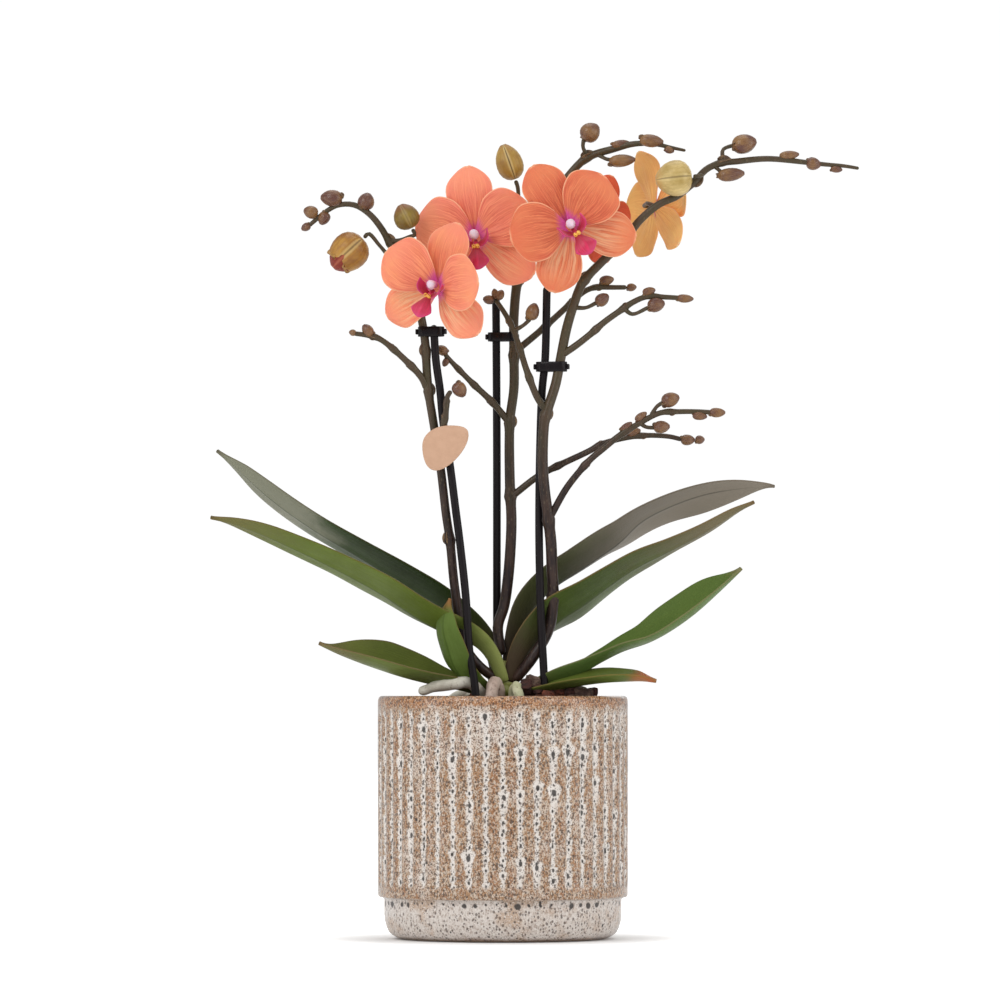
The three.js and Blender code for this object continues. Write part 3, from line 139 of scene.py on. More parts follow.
LEAVES = {
    "leaf_left_long_front": {
        "points": ((-1.5, -5, 122), (-3.5, -6, 128), (-6.5, -7, 134.5), (-12, -8, 140.5),
            (-20.6, -9.5, 144.6), (-30.8, -11, 148.5), (-43, -12.5, 155.5), (-56.2, -14, 164.6),
            (-79, -16, 177.2), (-97, -18, 186), (-114.8, -20, 194), (-129.5, -21, 199.1),
            (-139.5, -21.5, 201.1)),
        "widths": (5, 7, 12, 16.5, 18.5, 18.5, 16.5, 13.5, 10.5, 6.5, 1.6),
        "folds": (60, 50, 32, 16, 10, 7, 6, 5, 4, 4, 4),
        "rolls": (0, 8, 16, 19, 20, 20, 19.5, 21, 22, 24, 24), "hand": -1,
    },
    "leaf_right_front": {
        "points": ((5, -4.5, 122), (8, -4.5, 131), (13, -3.5, 139.5), (20, -1, 147), (26.9, 1, 153),
            (38.4, 2.5, 160.5), (49.7, 3.5, 169), (62.9, 4.5, 178), (79.2, 5, 186.3), (97.9, 5, 196.2),
            (112.3, 5, 205.2), (121, 5, 209.3)),
        "widths": (5, 9, 14, 18, 18.5, 17.5, 15.5, 12.5, 9.5, 6, 2),
        "folds": (60, 44, 26, 12, 8, 6, 5, 5, 4, 4, 4),
        "rolls": (8, 20, 28, 28, 23, 20, 19, 15, 14, 16, 16), "hand": 1,
    },
    "leaf_left_upright": {
        "points": ((-5, -7, 116), (-11, -11, 119.5), (-16.8, -15, 123.6), (-22, -18, 129.4),
            (-25.7, -20, 139.7), (-27.7, -20.5, 148.2), (-26.9, -20.5, 156.5), (-25.2, -20, 162.4)),
        "widths": (4, 5.5, 7.8, 8.8, 8.4, 7, 4.8, 1.5), "folds": (40, 30, 22, 16, 12), "rolls": (0,),
        "hand": -1, "side": (0.8, -0.6, 0),
    },
    "leaf_right_lowest": {
        "points": ((7, -7, 114.5), (14, -12, 117), (24, -17, 119.4), (36, -20, 121.9), (49, -22, 123.6),
            (60.2, -23, 124.1), (67, -24, 124), (73, -24, 123.1)),
        "widths": (4, 5, 7, 9.5, 11, 11.5, 10.8, 9, 5), "folds": (40, 30, 22, 20, 18),
        "rolls": (0, -4, -8, -10, -10), "hand": 1,
    },
    "leaf_left_short": {
        "points": ((-5, -2, 115.5), (-12, -5.5, 117.6), (-20, -9, 119.8), (-32.4, -13, 122.2),
            (-47.4, -17, 126), (-60.4, -20.5, 130.3), (-76.8, -24, 136.4), (-87.6, -25, 141.2)),
        "widths": (4.5, 7, 11, 14.5, 16.5, 17, 14, 8.5, 1.6), "folds": (45, 38, 34, 32, 30, 26),
        "rolls": (0, -8, -14, -17, -18, -16), "hand": -1,
    },
    "leaf_right_middle": {
        "points": ((6.5, -2, 115.5), (14, -5.5, 118.6), (26.5, -9, 122.6), (38.1, -12, 128.2),
            (45.5, -14, 132.6), (56.5, -16, 138.2), (68.9, -18, 142.4), (79.3, -20, 148),
            (91.3, -21, 156.6), (101.5, -22, 165.8), (109.4, -22, 173), (113.7, -22, 176.9)),
        "widths": (4.5, 7, 9.5, 9, 9, 12, 15, 16, 15.5, 12.5, 5),
        "folds": (45, 40, 38, 34, 28, 26, 26, 26, 24, 20, 14),
        "rolls": (0, 6, 8, 4, -4, -12, -19, -20, -20, -20, -16), "hand": 1,
    },
    "leaf_left_long_back": {
        "points": ((-4, 5, 122), (-6.4, 8, 135), (-12, 11, 144.6), (-23.2, 14, 154.3), (-32, 15, 161),
            (-48.3, 18, 171), (-66.2, 20.5, 182.2), (-90, 24, 196.5), (-107, 26, 208.3), (-117.7, 27, 217),
            (-127, 28, 225.6), (-138.8, 30, 235)),
        "widths": (5, 8, 12, 16, 18, 18, 17.5, 16, 13, 8, 1.8),
        "folds": (60, 46, 30, 16, 10, 6, 5, 4, 4, 4, 4),
        "rolls": (4, 10, 16, 20, 20, 19, 17.5, 18, 20, 24, 24), "hand": -1,
    },
    "leaf_right_top": {
        "points": ((4, 5, 122), (6.5, 8, 136), (9.5, 11, 147.5), (14.5, 14, 159.4), (26.2, 17, 170.7),
            (35, 19, 176.3), (46.5, 21, 184.1), (56, 23, 190.9), (65.8, 25, 200.7), (80.4, 27, 208.6),
            (99.5, 29, 215), (126.9, 31, 218.1), (132, 31.5, 217.5)),
        "widths": (5, 8, 12, 16, 18, 18, 16.8, 15, 12.4, 8, 2),
        "folds": (60, 46, 32, 22, 18, 14, -2, -8, -16, -15, -10),
        "rolls": (8, 14, 18, 19, 19, 20, 22, 25, 33, 38, 38), "hand": 1,
    },
}

SPIKES = {
    "spike_left": {
        "stem": ((-3, -3.5, 124), (-11, -8, 130), (-17.5, -11.5, 138.5), (-20.3, -13, 148.5),
            (-22.4, -13.5, 163), (-23.6, -13.5, 172.3), (-25.3, -13.2, 190.1), (-27.2, -13, 202.9),
            (-29.8, -12.5, 224.9), (-33.4, -12, 247.7), (-35.3, -12, 259.3), (-36.3, -12, 269.7),
            (-37.7, -12, 289.3), (-41.7, -12, 306.7), (-48.7, -11, 321.8), (-54.2, -10, 332.8),
            (-58.7, -10, 340.6), (-64, -9, 346.9), (-71.2, -8, 351.3), (-78.9, -8, 351.3),
            (-85.1, -7, 348.1), (-93.2, -7, 341.3)),
        "radii": (2.4, 2.3, 2.2, 2.1, 2.1, 2.1, 1.9, 1.5, 1),
        "branches": (
            ((-36.3, -12, 262.5), (-38.6, -13.5, 267.7), (-46.2, -16, 276), (-58.9, -19, 286.4),
            (-65.1, -20, 288.1), (-71.2, -21, 288.9)),
            ((-31, -13.5, 232.2), (-29.1, -17.5, 241.8), (-27.3, -19.6, 250.6), (-26.6, -19.8, 258.5),
            (-24.7, -19.6, 261.6))),
        "pedicels": ((((-51.7, -10.5, 327.8), (-44.7, -14, 320.4), (-35.7, -17, 314)), "bloom_front_left"),
            (((-49.7, -10.5, 323.8), (-54.6, -12.5, 326.6), (-59, -14, 331.4)), "bud_opening_sepals"),
            (((-54.2, -10, 333.8), (-49.5, -13, 334), (-44.6, -15.5, 335.6)), "bud_left_olive")),
        "buds": (((-82.3, -8, 354.5), (-1, 0, 0.1), 11, 8.4), ((-65.5, -9, 353.1), (0.3, 0, 1), 8.6, 8.2),
            ((-92.2, -7.5, 348), (-1, 0, 0.3), 7.4, 6.4), ((-85.9, -7, 344.9), (-0.5, 0, -1), 7, 6),
            ((-94.6, -7, 340.7), (-1, 0, -0.6), 5, 4), ((-64.6, -20, 290.5), (-0.8, 0, 1), 7, 5.4),
            ((-71.8, -21, 289.3), (-1, 0, 0.2), 3.6, 3.2), ((-20.6, -19.4, 262), (0.5, 0, -0.8), 8.2, 7)),
        "nodes": ((-25.3, -13.2, 190.1), (-36.4, -12, 261), (-37, -12, 280.2), (-54.2, -10, 332.8)),
    },
    "spike_centre": {
        "stem": ((-0.6, 2, 135.5), (-2.4, 4.5, 149.3), (0.5, 5.5, 158.9), (2.4, 6, 171.8), (3.6, 6, 186.2),
            (4.1, 6, 200.6), (3.4, 6, 217), (3.1, 5, 238), (3.4, 5, 249), (5.3, 4.5, 264), (5.3, 4, 281),
            (5.3, 4, 298), (7, 4, 315.4), (11, 5, 330), (18, 6, 345), (26, 6, 358), (32.2, 5, 367),
            (40.3, 4, 374.9), (53.8, 1, 379.2), (62.9, -2, 381.2), (72, -4, 381.1), (81.1, -4, 379.2),
            (87.8, -4, 377.8)),
        "radii": (2.5, 2.6, 2.5, 2.3, 2.3, 2.3, 2.1, 1.8, 0.7),
        "branches": (
            ((3.6, 5, 246.7), (-4.8, 2.6, 256.8), (-14.9, 0, 266.4), (-25.4, -4, 277), (-28, -5, 280)),
            ((5.3, 4, 281), (18.7, 3, 292.1), (32.2, 2, 304.3), (38.9, 0, 310.1), (44.2, -1, 312.2),
            (50.9, -1, 312.2), (59.5, -1, 312.2)),
            ((3.8, 6, 211.5), (17.3, 4, 221.8), (27.4, 3, 227), (40.3, 1, 233), (49, 0, 237.4),
            (65.5, -1, 240.8), (79.2, -2, 240.5), (86, -2, 239))),
        "pedicels": ((((7.5, 4, 317), (1, 4, 327), (-7, 2.5, 335)), "bloom_upper_middle"),
            (((17, 6, 343), (9, 6, 350)), "bud_top_olive"),
            (((22, 6, 351.5), (30, 4, 347)), "bloom_behind"),
            (((41, 4, 375.5), (38.6, 3, 380), (39, 3, 384.4)), None),
            (((45, 3.6, 377), (50, 0, 374), (53, -1.5, 373.6)), None)),
        "buds": (((-29.3, -5.4, 281.8), (-1, 0, 0.6), 6.2, 5),
            ((-27.6, -4.8, 275.8), (-0.5, 0, -1), 4.4, 3.4), ((61.9, -1, 312.2), (1, 0, 0.1), 5, 4),
            ((49.9, -1, 315.6), (1, 0, 0.2), 7.4, 5), ((88.8, -2, 238.8), (1, 0, 0), 7.2, 5.3),
            ((94.6, -2, 238.9), (1, 0, 0.1), 4.8, 4.3), ((62.9, -1, 242.6), (1, 0, 0.3), 7.2, 4.4),
            ((42.2, 3, 387.4), (0.7, 0, 0.6), 10.2, 9.8), ((57.4, -1.8, 373.2), (1, 0, 0.1), 13.4, 6.2),
            ((56.6, 0, 381.4), (1, 0, 0.2), 9, 4), ((71.5, -4.4, 382.4), (1, 0, -0.1), 12, 6.4),
            ((80, -4.4, 378), (1, 0, -0.3), 5, 3.6)),
        "nodes": ((3.6, 5, 246.5), (3.7, 6, 211.5), (7, 4, 315.6), (40.3, 4, 374.9), (5.3, 4, 279.5)),
    },
    "spike_right": {
        "stem": ((5, -5, 123), (14, -7.5, 134), (22, -6.8, 148.3), (24, -7.2, 162.7), (23.5, -8.5, 176.6),
            (22.9, -11, 190.6), (21.4, -13.8, 202.9), (20, -15, 213.8), (19, -15.2, 228.1),
            (20, -14.8, 248), (21.3, -14, 252.7), (25.2, -11.4, 265), (27.2, -10.2, 275.1),
            (30.5, -11, 291.7), (33.9, -12, 303.1), (38.1, -13, 313.6), (46.6, -14, 322.9),
            (58.1, -15, 333.7), (65.2, -16, 343), (74.4, -17, 350.8), (83.7, -17.4, 355.1),
            (91.3, -17, 361.5), (97.5, -16, 367.9), (104.2, -15, 370.9), (111.4, -14, 371.7),
            (126.8, -12, 373.2), (145.6, -10, 371.6), (154.7, -9, 370.7), (163.8, -8.4, 370),
            (170.8, -8, 368.9)),
        "radii": (2.6, 2.7, 2.7, 2.5, 2.4, 2.3, 2.1, 1.8, 1.6, 1.4, 0.8),
        "branches": (
            ((21.1, -14.2, 252), (16.7, -13.2, 258.2), (11.4, -11, 271.7), (8.2, -8, 282),
            (3.8, -5.5, 294.2), (-1.4, -3, 303.1), (-3.6, -2, 306)),
            ((28.2, -10.6, 279.1), (34.8, -12, 283.5), (41.5, -13, 288.7), (48.6, -14, 294.8),
            (55.2, -15, 299.5), (61.8, -16, 303.9), (68.5, -16, 306.7), (78.5, -16, 306.5),
            (87.2, -16, 306)),
            ((22.3, -12.8, 200.9), (29.8, -14, 214.3), (34.7, -15, 220.9), (41.8, -16, 228.9),
            (48, -16.5, 234.1), (55.2, -17, 239.9), (63.2, -17, 245), (75.1, -17, 251.1),
            (84.2, -17, 251.7), (93.4, -17, 251.7), (102, -17, 251.2))),
        "pedicels": ((((38.3, -13, 314.2), (34.2, -15, 319.4), (31.7, -17, 329)), "bloom_centre_right"),
            (((58, -15.4, 301), (61.8, -16.6, 298.4), (69.7, -17.6, 301.6)), None),
            (((34.2, -12.2, 301.8), (39.7, -13, 301.7), (45.1, -13.6, 304.2)), None),
            (((5.2, -6, 291), (9.9, -8, 293.6), (13.3, -9, 296.7)), None),
            (((70.7, -17, 249.6), (73.5, -17.4, 254.1), (76.8, -17.6, 256.3)), None),
            (((91.5, -17, 361.9), (95, -20, 364.6)), "bud_right_round"),
            (((73.3, -16.6, 349.9), (69.5, -9, 352), (69, -2, 352.4)), "bloom_right_turned"),
            (((105.7, -14.6, 371.4), (105.3, -14.4, 377.2), (111.1, -14, 379.8)), None),
            (((101.1, -15.2, 369.5), (104.7, -16.4, 366.2)), None),
            (((65.4, -16.8, 246.4), (68.3, -17, 244.4), (72.9, -17, 244)), None)),
        "buds": (((-7, -2, 306.2), (-1, 0, 0.2), 5.6, 4.6), ((-1.4, -3, 308.5), (0.6, 0, 1), 5.4, 4.4),
            ((-3.8, -2, 309.2), (-0.2, 0, 1), 5, 3.6), ((14.3, -9, 300.1), (0.3, 0, 1), 8.8, 6.6),
            ((69.9, -16, 309.3), (1, 0, 0.3), 6.6, 4.4), ((73.3, -17.6, 302.8), (1, 0, 0.25), 8.8, 7),
            ((87.2, -16, 305.9), (1, 0, -0.05), 8.4, 4.2), ((47.6, -13.8, 305.6), (0.8, 0, 0.6), 7.6, 6.2),
            ((80.1, -17.6, 257.5), (1, 0, 0.35), 9.2, 7.2), ((94.1, -17, 249.6), (1, 0, -0.1), 7.4, 4.2),
            ((102.5, -17, 251.3), (1, 0, 0), 8, 4.8), ((75.9, -17, 244.4), (1, 0, 0.1), 8.2, 6.2),
            ((66, -17, 249.4), (0.8, 0, 0.6), 7, 3.8), ((59, -17, 244.6), (0.8, 0, 0.6), 7, 3.6),
            ((115.7, -14, 380.2), (1, 0, 0.25), 12.4, 9.6), ((109.2, -16.6, 365.3), (1, 0, 0.1), 13.6, 6.6),
            ((137.3, -11, 375), (1, 0, 0.1), 10, 4.4), ((149, -9.8, 371), (1, 0, -0.2), 7.4, 6.4),
            ((160, -8.8, 368.4), (1, 0, -0.1), 6, 3.4)),
        "nodes": ((24, -7.4, 162.8), (22, -13, 199.9), (20.7, -14.4, 250.6), (38.5, -13.2, 314.6),
            (91.5, -17, 361.9), (104.7, -15, 371)),
    },
}

LARGE_BUDS = {
    "bud_left_olive": ((-46.4, -17, 345.2), (-0.5, 0, 1), 13, 12.4),
    "bud_top_olive": ((2.9, 5, 373.2), (-0.35, 0, 1), 18.4, 13),
    "bud_right_round": ((81.4, -22.6, 362.9), (-1, 0, -0.1), 18.2, 17.4),
    "bud_opening_sepals": ((-74.4, -15, 327.6), (-0.75, 0, -0.7), 21, 18.4),
}

BLOOMS = {
    "bloom_front_left": {
        "at": (-31, -30, 310.4), "facing": (-0.45, -0.89, -0.03), "roll": -18, "size": 0.97, "cup": 22,
        "turns": (0, 0, 14, 0, 0),
    },
    "bloom_upper_middle": {"at": (-12.9, -8.5, 336), "facing": (-0.1, -1, -0.05), "roll": 8, "size": 1.04},
    "bloom_centre_right": {
        "at": (31.7, -28.5, 339.7), "facing": (0.12, -1, -0.05), "roll": 33, "size": 1.02,
    },
    "bloom_behind": {"at": (43, -8, 343.6), "facing": (0.45, -0.85, -0.25), "roll": -20, "size": 0.72},
    "bloom_right_turned": {
        "at": (73.4, 8, 352), "facing": (0.82, 0.56, 0.04), "roll": -20, "size": 0.87,
        "turns": (0, 22, 8, 20, 0),
    },
}

CLIPS = {
    "clip_centre": {"from": (-4, 5.5, 288.7), "to": (3.4, 4.2, 288.7), "radius": 3.3, "height": 4.4},
    "clip_right": {"from": (19.2, -8.2, 273.6), "to": (27.4, -9.8, 273.6), "radius": 3.4, "height": 4.8},
    "clip_left": {"from": (-37.3, -12.2, 290.2), "to": (-31.4, -13.8, 290.2), "radius": 3.4, "height": 4.8},
}

# The opening bud's petal: place, direction, length and width.
OPENING_PETAL = ((-76.2, -15.5, 325.5), (-0.75, 0, -0.7), 14.8, 15)

# A bloom's tepals in its own plane: x to the viewer's right, y up, z towards the viewer.
SEPAL = {"length": 32, "widths": (2.5, 6, 9.5, 10.9, 10.2, 8), "level": -1, "curl": 5,
         "lift": (0, 1, 1.2, 0), "cups": False}
WING = {"length": 28.5, "widths": (2.2, 8.5, 13, 14.2, 13.2, 10.5), "level": 1.2, "curl": 6,
        "lift": (0, 1.6, 1.8, -0.6), "cups": True}
TEPALS = (
    {**SEPAL, "angle": 90, "length": 33, "lift": (0, 1.2, 1.4, -1.4)}, {**SEPAL, "angle": 223},
    {**SEPAL, "angle": -43}, {**WING, "angle": 157}, {**WING, "angle": 23},
)
TEPAL_START = 1.2


def rgb(red, green, blue):
    """A screen colour of 0 to 255 as Blender's linear colour."""
    def linear(level):
        share = level / 255
        return share / 12.92 if share <= 0.04045 else ((share + 0.055) / 1.055) ** 2.4

    return (linear(red), linear(green), linear(blue), 1.0)


# Settings that a user would change


def colour_setting(name, description, colour):
    """A colour setting with its default as a screen colour."""
    return bpy.props.FloatVectorProperty(
        name=name, description=description, default=rgb(*colour)[:3], size=3,
        min=0.0, max=1.0, subtype="COLOR")


class OrchidPotSettings(bpy.types.PropertyGroup):
    """Sizes and colours of the glazed pot."""

    flute_depth: bpy.props.FloatProperty(
        name="Flute depth", description="How deep the grooves of the pot are",
        default=0.0009, min=0.0, max=0.003, unit="LENGTH")
    rib_colour: colour_setting("Rib glaze", "Glaze on the ribs", (168, 128, 92))
    pale_colour: colour_setting("Pale glaze", "Glaze that pooled in the grooves", (230, 223, 216))
    rim_colour: colour_setting("Rim glaze", "Glaze on the rim band", (170, 116, 70))


class OrchidPlantSettings(bpy.types.PropertyGroup):
    """Colours of leaves and stems."""

    stem_colour: colour_setting("Stem", "Upper part of a flower stem", (72, 64, 44))
    stem_low_colour: colour_setting("Stem foot", "Lower part of a flower stem", (30, 20, 23))
    leaf_thickness: bpy.props.FloatProperty(
        name="Leaf thickness", description="Thickness of a leaf at its midrib",
        default=LEAF_MID * MM, min=0.0005, max=0.004, unit="LENGTH")


class OrchidBloomSettings(bpy.types.PropertyGroup):
    """Colours of the blooms."""

    petal_colour: colour_setting("Petal", "Middle of a petal", (246, 148, 112))
    margin_colour: colour_setting("Petal margin", "Thin pale edge of a petal", (255, 192, 150))
    halo_colour: colour_setting("Heart", "Round the column", (214, 70, 170))
    lip_colour: colour_setting("Lip", "Middle lobe of the lip", (172, 14, 48))


class OrchidStageSettings(bpy.types.PropertyGroup):
    """Light and camera."""

    tent_light: bpy.props.FloatProperty(
        name="Tent light", description="Strength of the even light from all round",
        default=0.6, min=0.0, max=2.0)
    camera_distance: bpy.props.FloatProperty(
        name="Camera distance", description="From the camera to the pot's axis",
        default=3.0, min=0.5, max=10.0, unit="LENGTH")


def chosen(group, name):
    """A colour that the user chose, as a socket takes it."""
    settings = getattr(bpy.context.scene, f"orchid_{group}")
    return (*getattr(settings, f"{name}_colour"), 1)


# Lines and sections


def along(values, share):
    """The value at a share of a list of values spread evenly."""
    if len(values) == 1:
        return values[0]
    place = min(max(share, 0.0), 1.0) * (len(values) - 1)
    low = min(int(place), len(values) - 2)
    return values[low] + (values[low + 1] - values[low]) * (place - low)


def smooth_along(values, share):
    """As along, but without corners."""
    if len(values) < 3:
        return along(values, share)
    place = min(max(share, 0.0), 1.0) * (len(values) - 1)
    low = min(int(place), len(values) - 2)
    t = place - low
    before = values[max(low - 1, 0)]
    here, there = values[low], values[low + 1]
    after = values[min(low + 2, len(values) - 1)]
    bend = 2 * before - 5 * here + 4 * there - after
    turn = 3 * (here - there) + after - before
    return 0.5 * (2 * here + (there - before) * t + bend * t * t + turn * t ** 3)


class Line:
    """A smooth line through points in millimetres, read by the share of its length."""

    CUTS = 200

    def __init__(self, points):
        points = [Vector(point) for point in points]
        self.spans = len(points) - 1
        self.padded = [points[0] * 2 - points[1], *points, points[-1] * 2 - points[-2]]
        self.reach = [0.0]
        last = self.knot(0)
        for cut in range(1, self.CUTS + 1):
            spot = self.knot(cut / self.CUTS * self.spans)
            self.reach.append(self.reach[-1] + (spot - last).length)
            last = spot
        self.length = self.reach[-1]

    def knot(self, place):
        """The point at a place counted in spans."""
        span = min(int(place), self.spans - 1)
        t = place - span
        p0, p1, p2, p3 = self.padded[span:span + 4]
        d0, d1, d2 = (max((b - a).length, 1e-6) ** 0.5 for a, b in ((p0, p1), (p1, p2), (p2, p3)))
        m1 = ((p1 - p0) / d0 - (p2 - p0) / (d0 + d1) + (p2 - p1) / d1) * d1
        m2 = ((p2 - p1) / d1 - (p3 - p1) / (d1 + d2) + (p3 - p2) / d2) * d1
        return (p1 + m1 * t + (p2 * 3 - p1 * 3 - m1 * 2 - m2) * t ** 2
                + (p1 * 2 - p2 * 2 + m1 + m2) * t ** 3)

    def at(self, share):
        """The point at a share of the length."""
        target = min(max(share, 0.0), 1.0) * self.length
        high = min(max(bisect_left(self.reach, target), 1), self.CUTS)
        low = high - 1
        part = (target - self.reach[low]) / (self.reach[high] - self.reach[low])
        return self.knot((low + part) / self.CUTS * self.spans)

    def tangent(self, share):
        """The way the line runs at a share of its length."""
        step = 0.002
        return (self.at(share + step) - self.at(share - step)).normalized()

    def frames(self, shares):
        """Centre, normal and binormal at each share, turned as little as can be."""
        normal = None
        found = []
        for share in shares:
            tangent = self.tangent(share)
            if normal is None:
                normal = Vector((tangent.z, 0, -tangent.x)) + Vector((1e-3, 1e-3, 1e-3))
            normal = (normal - tangent * tangent.dot(normal)).normalized()
            found.append((self.at(share), normal, tangent.cross(normal)))
        return found

    def nearest(self, place):
        """The share at which the line passes a place."""
        target = Vector(place)
        return min((i / 240 for i in range(241)), key=lambda share: (self.at(share) - target).length)


END_STEPS = (0.0, 0.06, 0.25, 0.58, 1.0)


def stalk_shares(line, step, start_radius, end_radius):
    """Shares along a stalk, closer together where its ends are rounded."""
    start = [part * start_radius / line.length for part in END_STEPS]
    end = [1 - part * end_radius / line.length for part in reversed(END_STEPS)]
    count = max(1, round((end[0] - start[-1]) * line.length / step))
    middle = [start[-1] + (end[0] - start[-1]) * i / count for i in range(1, count)]
    return start + middle + end


def stalk(name, material, points, radii, sides, step, nodes=(), shape=None):
    """A closed stalk along points: rounded ends, swollen nodes and, if given, an uneven section."""
    line = Line(points)
    shares = stalk_shares(line, step, radii[0], radii[-1])
    swells = [line.nearest(node) for node in nodes]
    sections = []
    for share, (centre, normal, binormal) in zip(shares, line.frames(shares)):
        radius = along(radii, share)
        for node in swells:
            radius *= 1 + NODE_SWELL * math.exp(-(((share - node) * line.length / NODE_REACH) ** 2))
        for distance in (share * line.length / radii[0], (1 - share) * line.length / radii[-1]):
            if distance < 1:
                radius *= math.sqrt(max(1 - (1 - distance) ** 2, 0.0))
        ring = []
        for side in range(sides):
            turn = side / sides * math.tau
            reach = radius * (shape(share, turn) if shape else 1)
            ring.append(centre + normal * (math.cos(turn) * reach) + binormal * (math.sin(turn) * reach))
        sections.append(ring)
    return painted(lofted(name, sections), material)


# Meshes


def deselect():
    """Leaves nothing selected or active."""
    bpy.ops.object.select_all(action="DESELECT")
    bpy.context.view_layer.objects.active = None


def named(obj, name):
    """Gives an object and its mesh a name."""
    obj.name = name
    obj.data.name = name
    return obj


def painted(obj, *materials):
    """Gives an object its materials."""
    for material in materials:
        obj.data.materials.append(material)
    return obj


@contextmanager
def editing(everything=True):
    """Edit mode, with everything selected unless the selection is already made."""
    bpy.ops.object.mode_set(mode="EDIT")
    if everything:
        bpy.ops.mesh.select_all(action="SELECT")
    yield
    bpy.ops.object.mode_set(mode="OBJECT")


def modify(obj, kind, **settings):
    """Adds a modifier with its settings and applies it."""
    modifier = obj.modifiers.new(kind.lower(), kind)
    for key, value in settings.items():
        setattr(modifier, key, value)
    bpy.ops.object.modifier_apply(modifier=modifier.name)


def sized(x, y, z):
    """The matrix that gives a unit shape its size in millimetres."""
    return Matrix.Diagonal((x * MM, y * MM, z * MM, 1))


def moved(place):
    """The matrix that moves a shape to a place in millimetres."""
    return Matrix.Translation(Vector(place) * MM)


def lofted(name, sections):
    """A closed skin over rings of points: a grid is rolled round them and its seam is sewn."""
    around = len(sections[0])
    middles = [sum(ring, Vector()) / around for ring in sections]
    rows = [[middles[0]] * around, *sections, [middles[-1]] * around]
    last = len(rows) - 1
    reach = [0.0]
    for low, high in zip(middles, middles[1:]):
        reach.append(reach[-1] + (high - low).length)
    shares = [0.0, *(distance / max(reach[-1], 1e-9) for distance in reach), 1.0]
    deselect()
    bpy.ops.mesh.primitive_grid_add(x_subdivisions=around, y_subdivisions=last, size=2)
    obj = named(bpy.context.object, name)
    row_of = {}
    for vertex in obj.data.vertices:
        column = round((vertex.co.x + 1) / 2 * around) % around
        row = round((vertex.co.y + 1) / 2 * last)
        row_of[vertex.index] = row
        vertex.co = rows[row][column] * MM
    uv = obj.data.uv_layers.active.uv
    for loop in obj.data.loops:
        uv[loop.index].vector.y = shares[row_of[loop.vertex_index]]
    with editing():
        bpy.ops.mesh.remove_doubles(threshold=1e-6)
        bpy.ops.mesh.normals_make_consistent(inside=False)
    bpy.ops.object.shade_smooth()
    return obj


def turned(name, rows, count):
    """A closed turned shape: a circle is extruded and resized row by row and closed at both ends."""
    deselect()
    radius, height = rows[0]
    bpy.ops.mesh.primitive_circle_add(
        vertices=count, radius=radius * MM, fill_type="NOTHING", location=(0, 0, 0))
    obj = named(bpy.context.object, name)
    for vertex in obj.data.vertices:
        vertex.co.z = height * MM
    with editing():
        for next_radius, next_height in rows[1:]:
            bpy.ops.mesh.extrude_region_move(
                TRANSFORM_OT_translate={"value": (0, 0, (next_height - height) * MM)})
            scale = next_radius / radius
            bpy.ops.transform.resize(value=(scale, scale, 1), center_override=(0, 0, next_height * MM))
            radius, height = next_radius, next_height
        bpy.ops.mesh.merge(type="CENTER")
        bpy.ops.mesh.select_all(action="DESELECT")
    for vertex in obj.data.vertices[:count]:
        vertex.select = True
    with editing(everything=False):
        bpy.ops.mesh.select_mode(type="VERT")
        bpy.ops.mesh.merge(type="CENTER")
        bpy.ops.mesh.select_all(action="SELECT")
        bpy.ops.mesh.normals_make_consistent(inside=False)
    bpy.ops.object.shade_smooth()
    return obj


def blade(name, shape, across, rows, materials):
    """A thin blade along points: a grid is set along them, then thickened and smoothed."""
    line = Line(shape["points"])
    hand = shape["hand"]
    side = Vector(shape.get("side", (0, -1, 0)))
    wave, ripples = shape.get("wave", 0), shape.get("ripples", 1)
    keel = shape.get("keel", 0)
    tip = shape.get("tip", 0.1)
    mid, edge = shape["mid"], shape["edge"]
    stations = []
    for row in range(rows + 1):
        share = 1 - (1 - row / rows) ** 1.5
        tangent = line.tangent(share)
        right = (side - tangent * tangent.dot(side)).normalized()
        up = tangent.cross(right) * hand
        turn = Matrix.Rotation(math.radians(smooth_along(shape["rolls"], share)) * hand, 3, tangent)
        width = smooth_along(shape["widths"], share)
        if share > 1 - tip:
            width *= math.sqrt(max(1 - ((share - 1 + tip) / tip) ** 2, 0.02))
        fold = math.radians(smooth_along(shape["folds"], share))
        stations.append((share, line.at(share), turn @ right, turn @ up, width, fold))
    deselect()
    bpy.ops.mesh.primitive_grid_add(x_subdivisions=across, y_subdivisions=rows, size=2)
    obj = named(bpy.context.object, name)
    group = obj.vertex_groups.new(name="thickness")
    share_of = {}
    for vertex in obj.data.vertices:
        v = vertex.co.x
        share, centre, right, up, width, fold = stations[round((vertex.co.y + 1) / 2 * rows)]
        share_of[vertex.index] = share
        ripple = wave * v * v * math.sin(share * 9 * ripples + v * 2)
        groove = keel * math.exp(-((v * width / 1.4) ** 2)) * min(1, 4 * (1 - share))
        rise = abs(v) ** 1.4 * width * math.sin(fold) + ripple - groove
        place = centre + right * (v * width * math.cos(fold * abs(v))) + up * rise
        group.add([vertex.index], (edge + (mid - edge) * (1 - v * v)) / mid, "REPLACE")
        vertex.co = place * MM
    uv = obj.data.uv_layers.active.uv
    for loop in obj.data.loops:
        uv[loop.index].vector.y = share_of[loop.vertex_index]
    if hand > 0:
        with editing():
            bpy.ops.mesh.flip_normals()
    painted(obj, *materials)
    modify(obj, "SOLIDIFY", thickness=mid * MM, offset=0, vertex_group=group.name, material_offset=1)
    modify(obj, "SUBSURF", levels=1, render_levels=1)
    obj.vertex_groups.clear()
    bpy.ops.object.shade_smooth()
    return obj


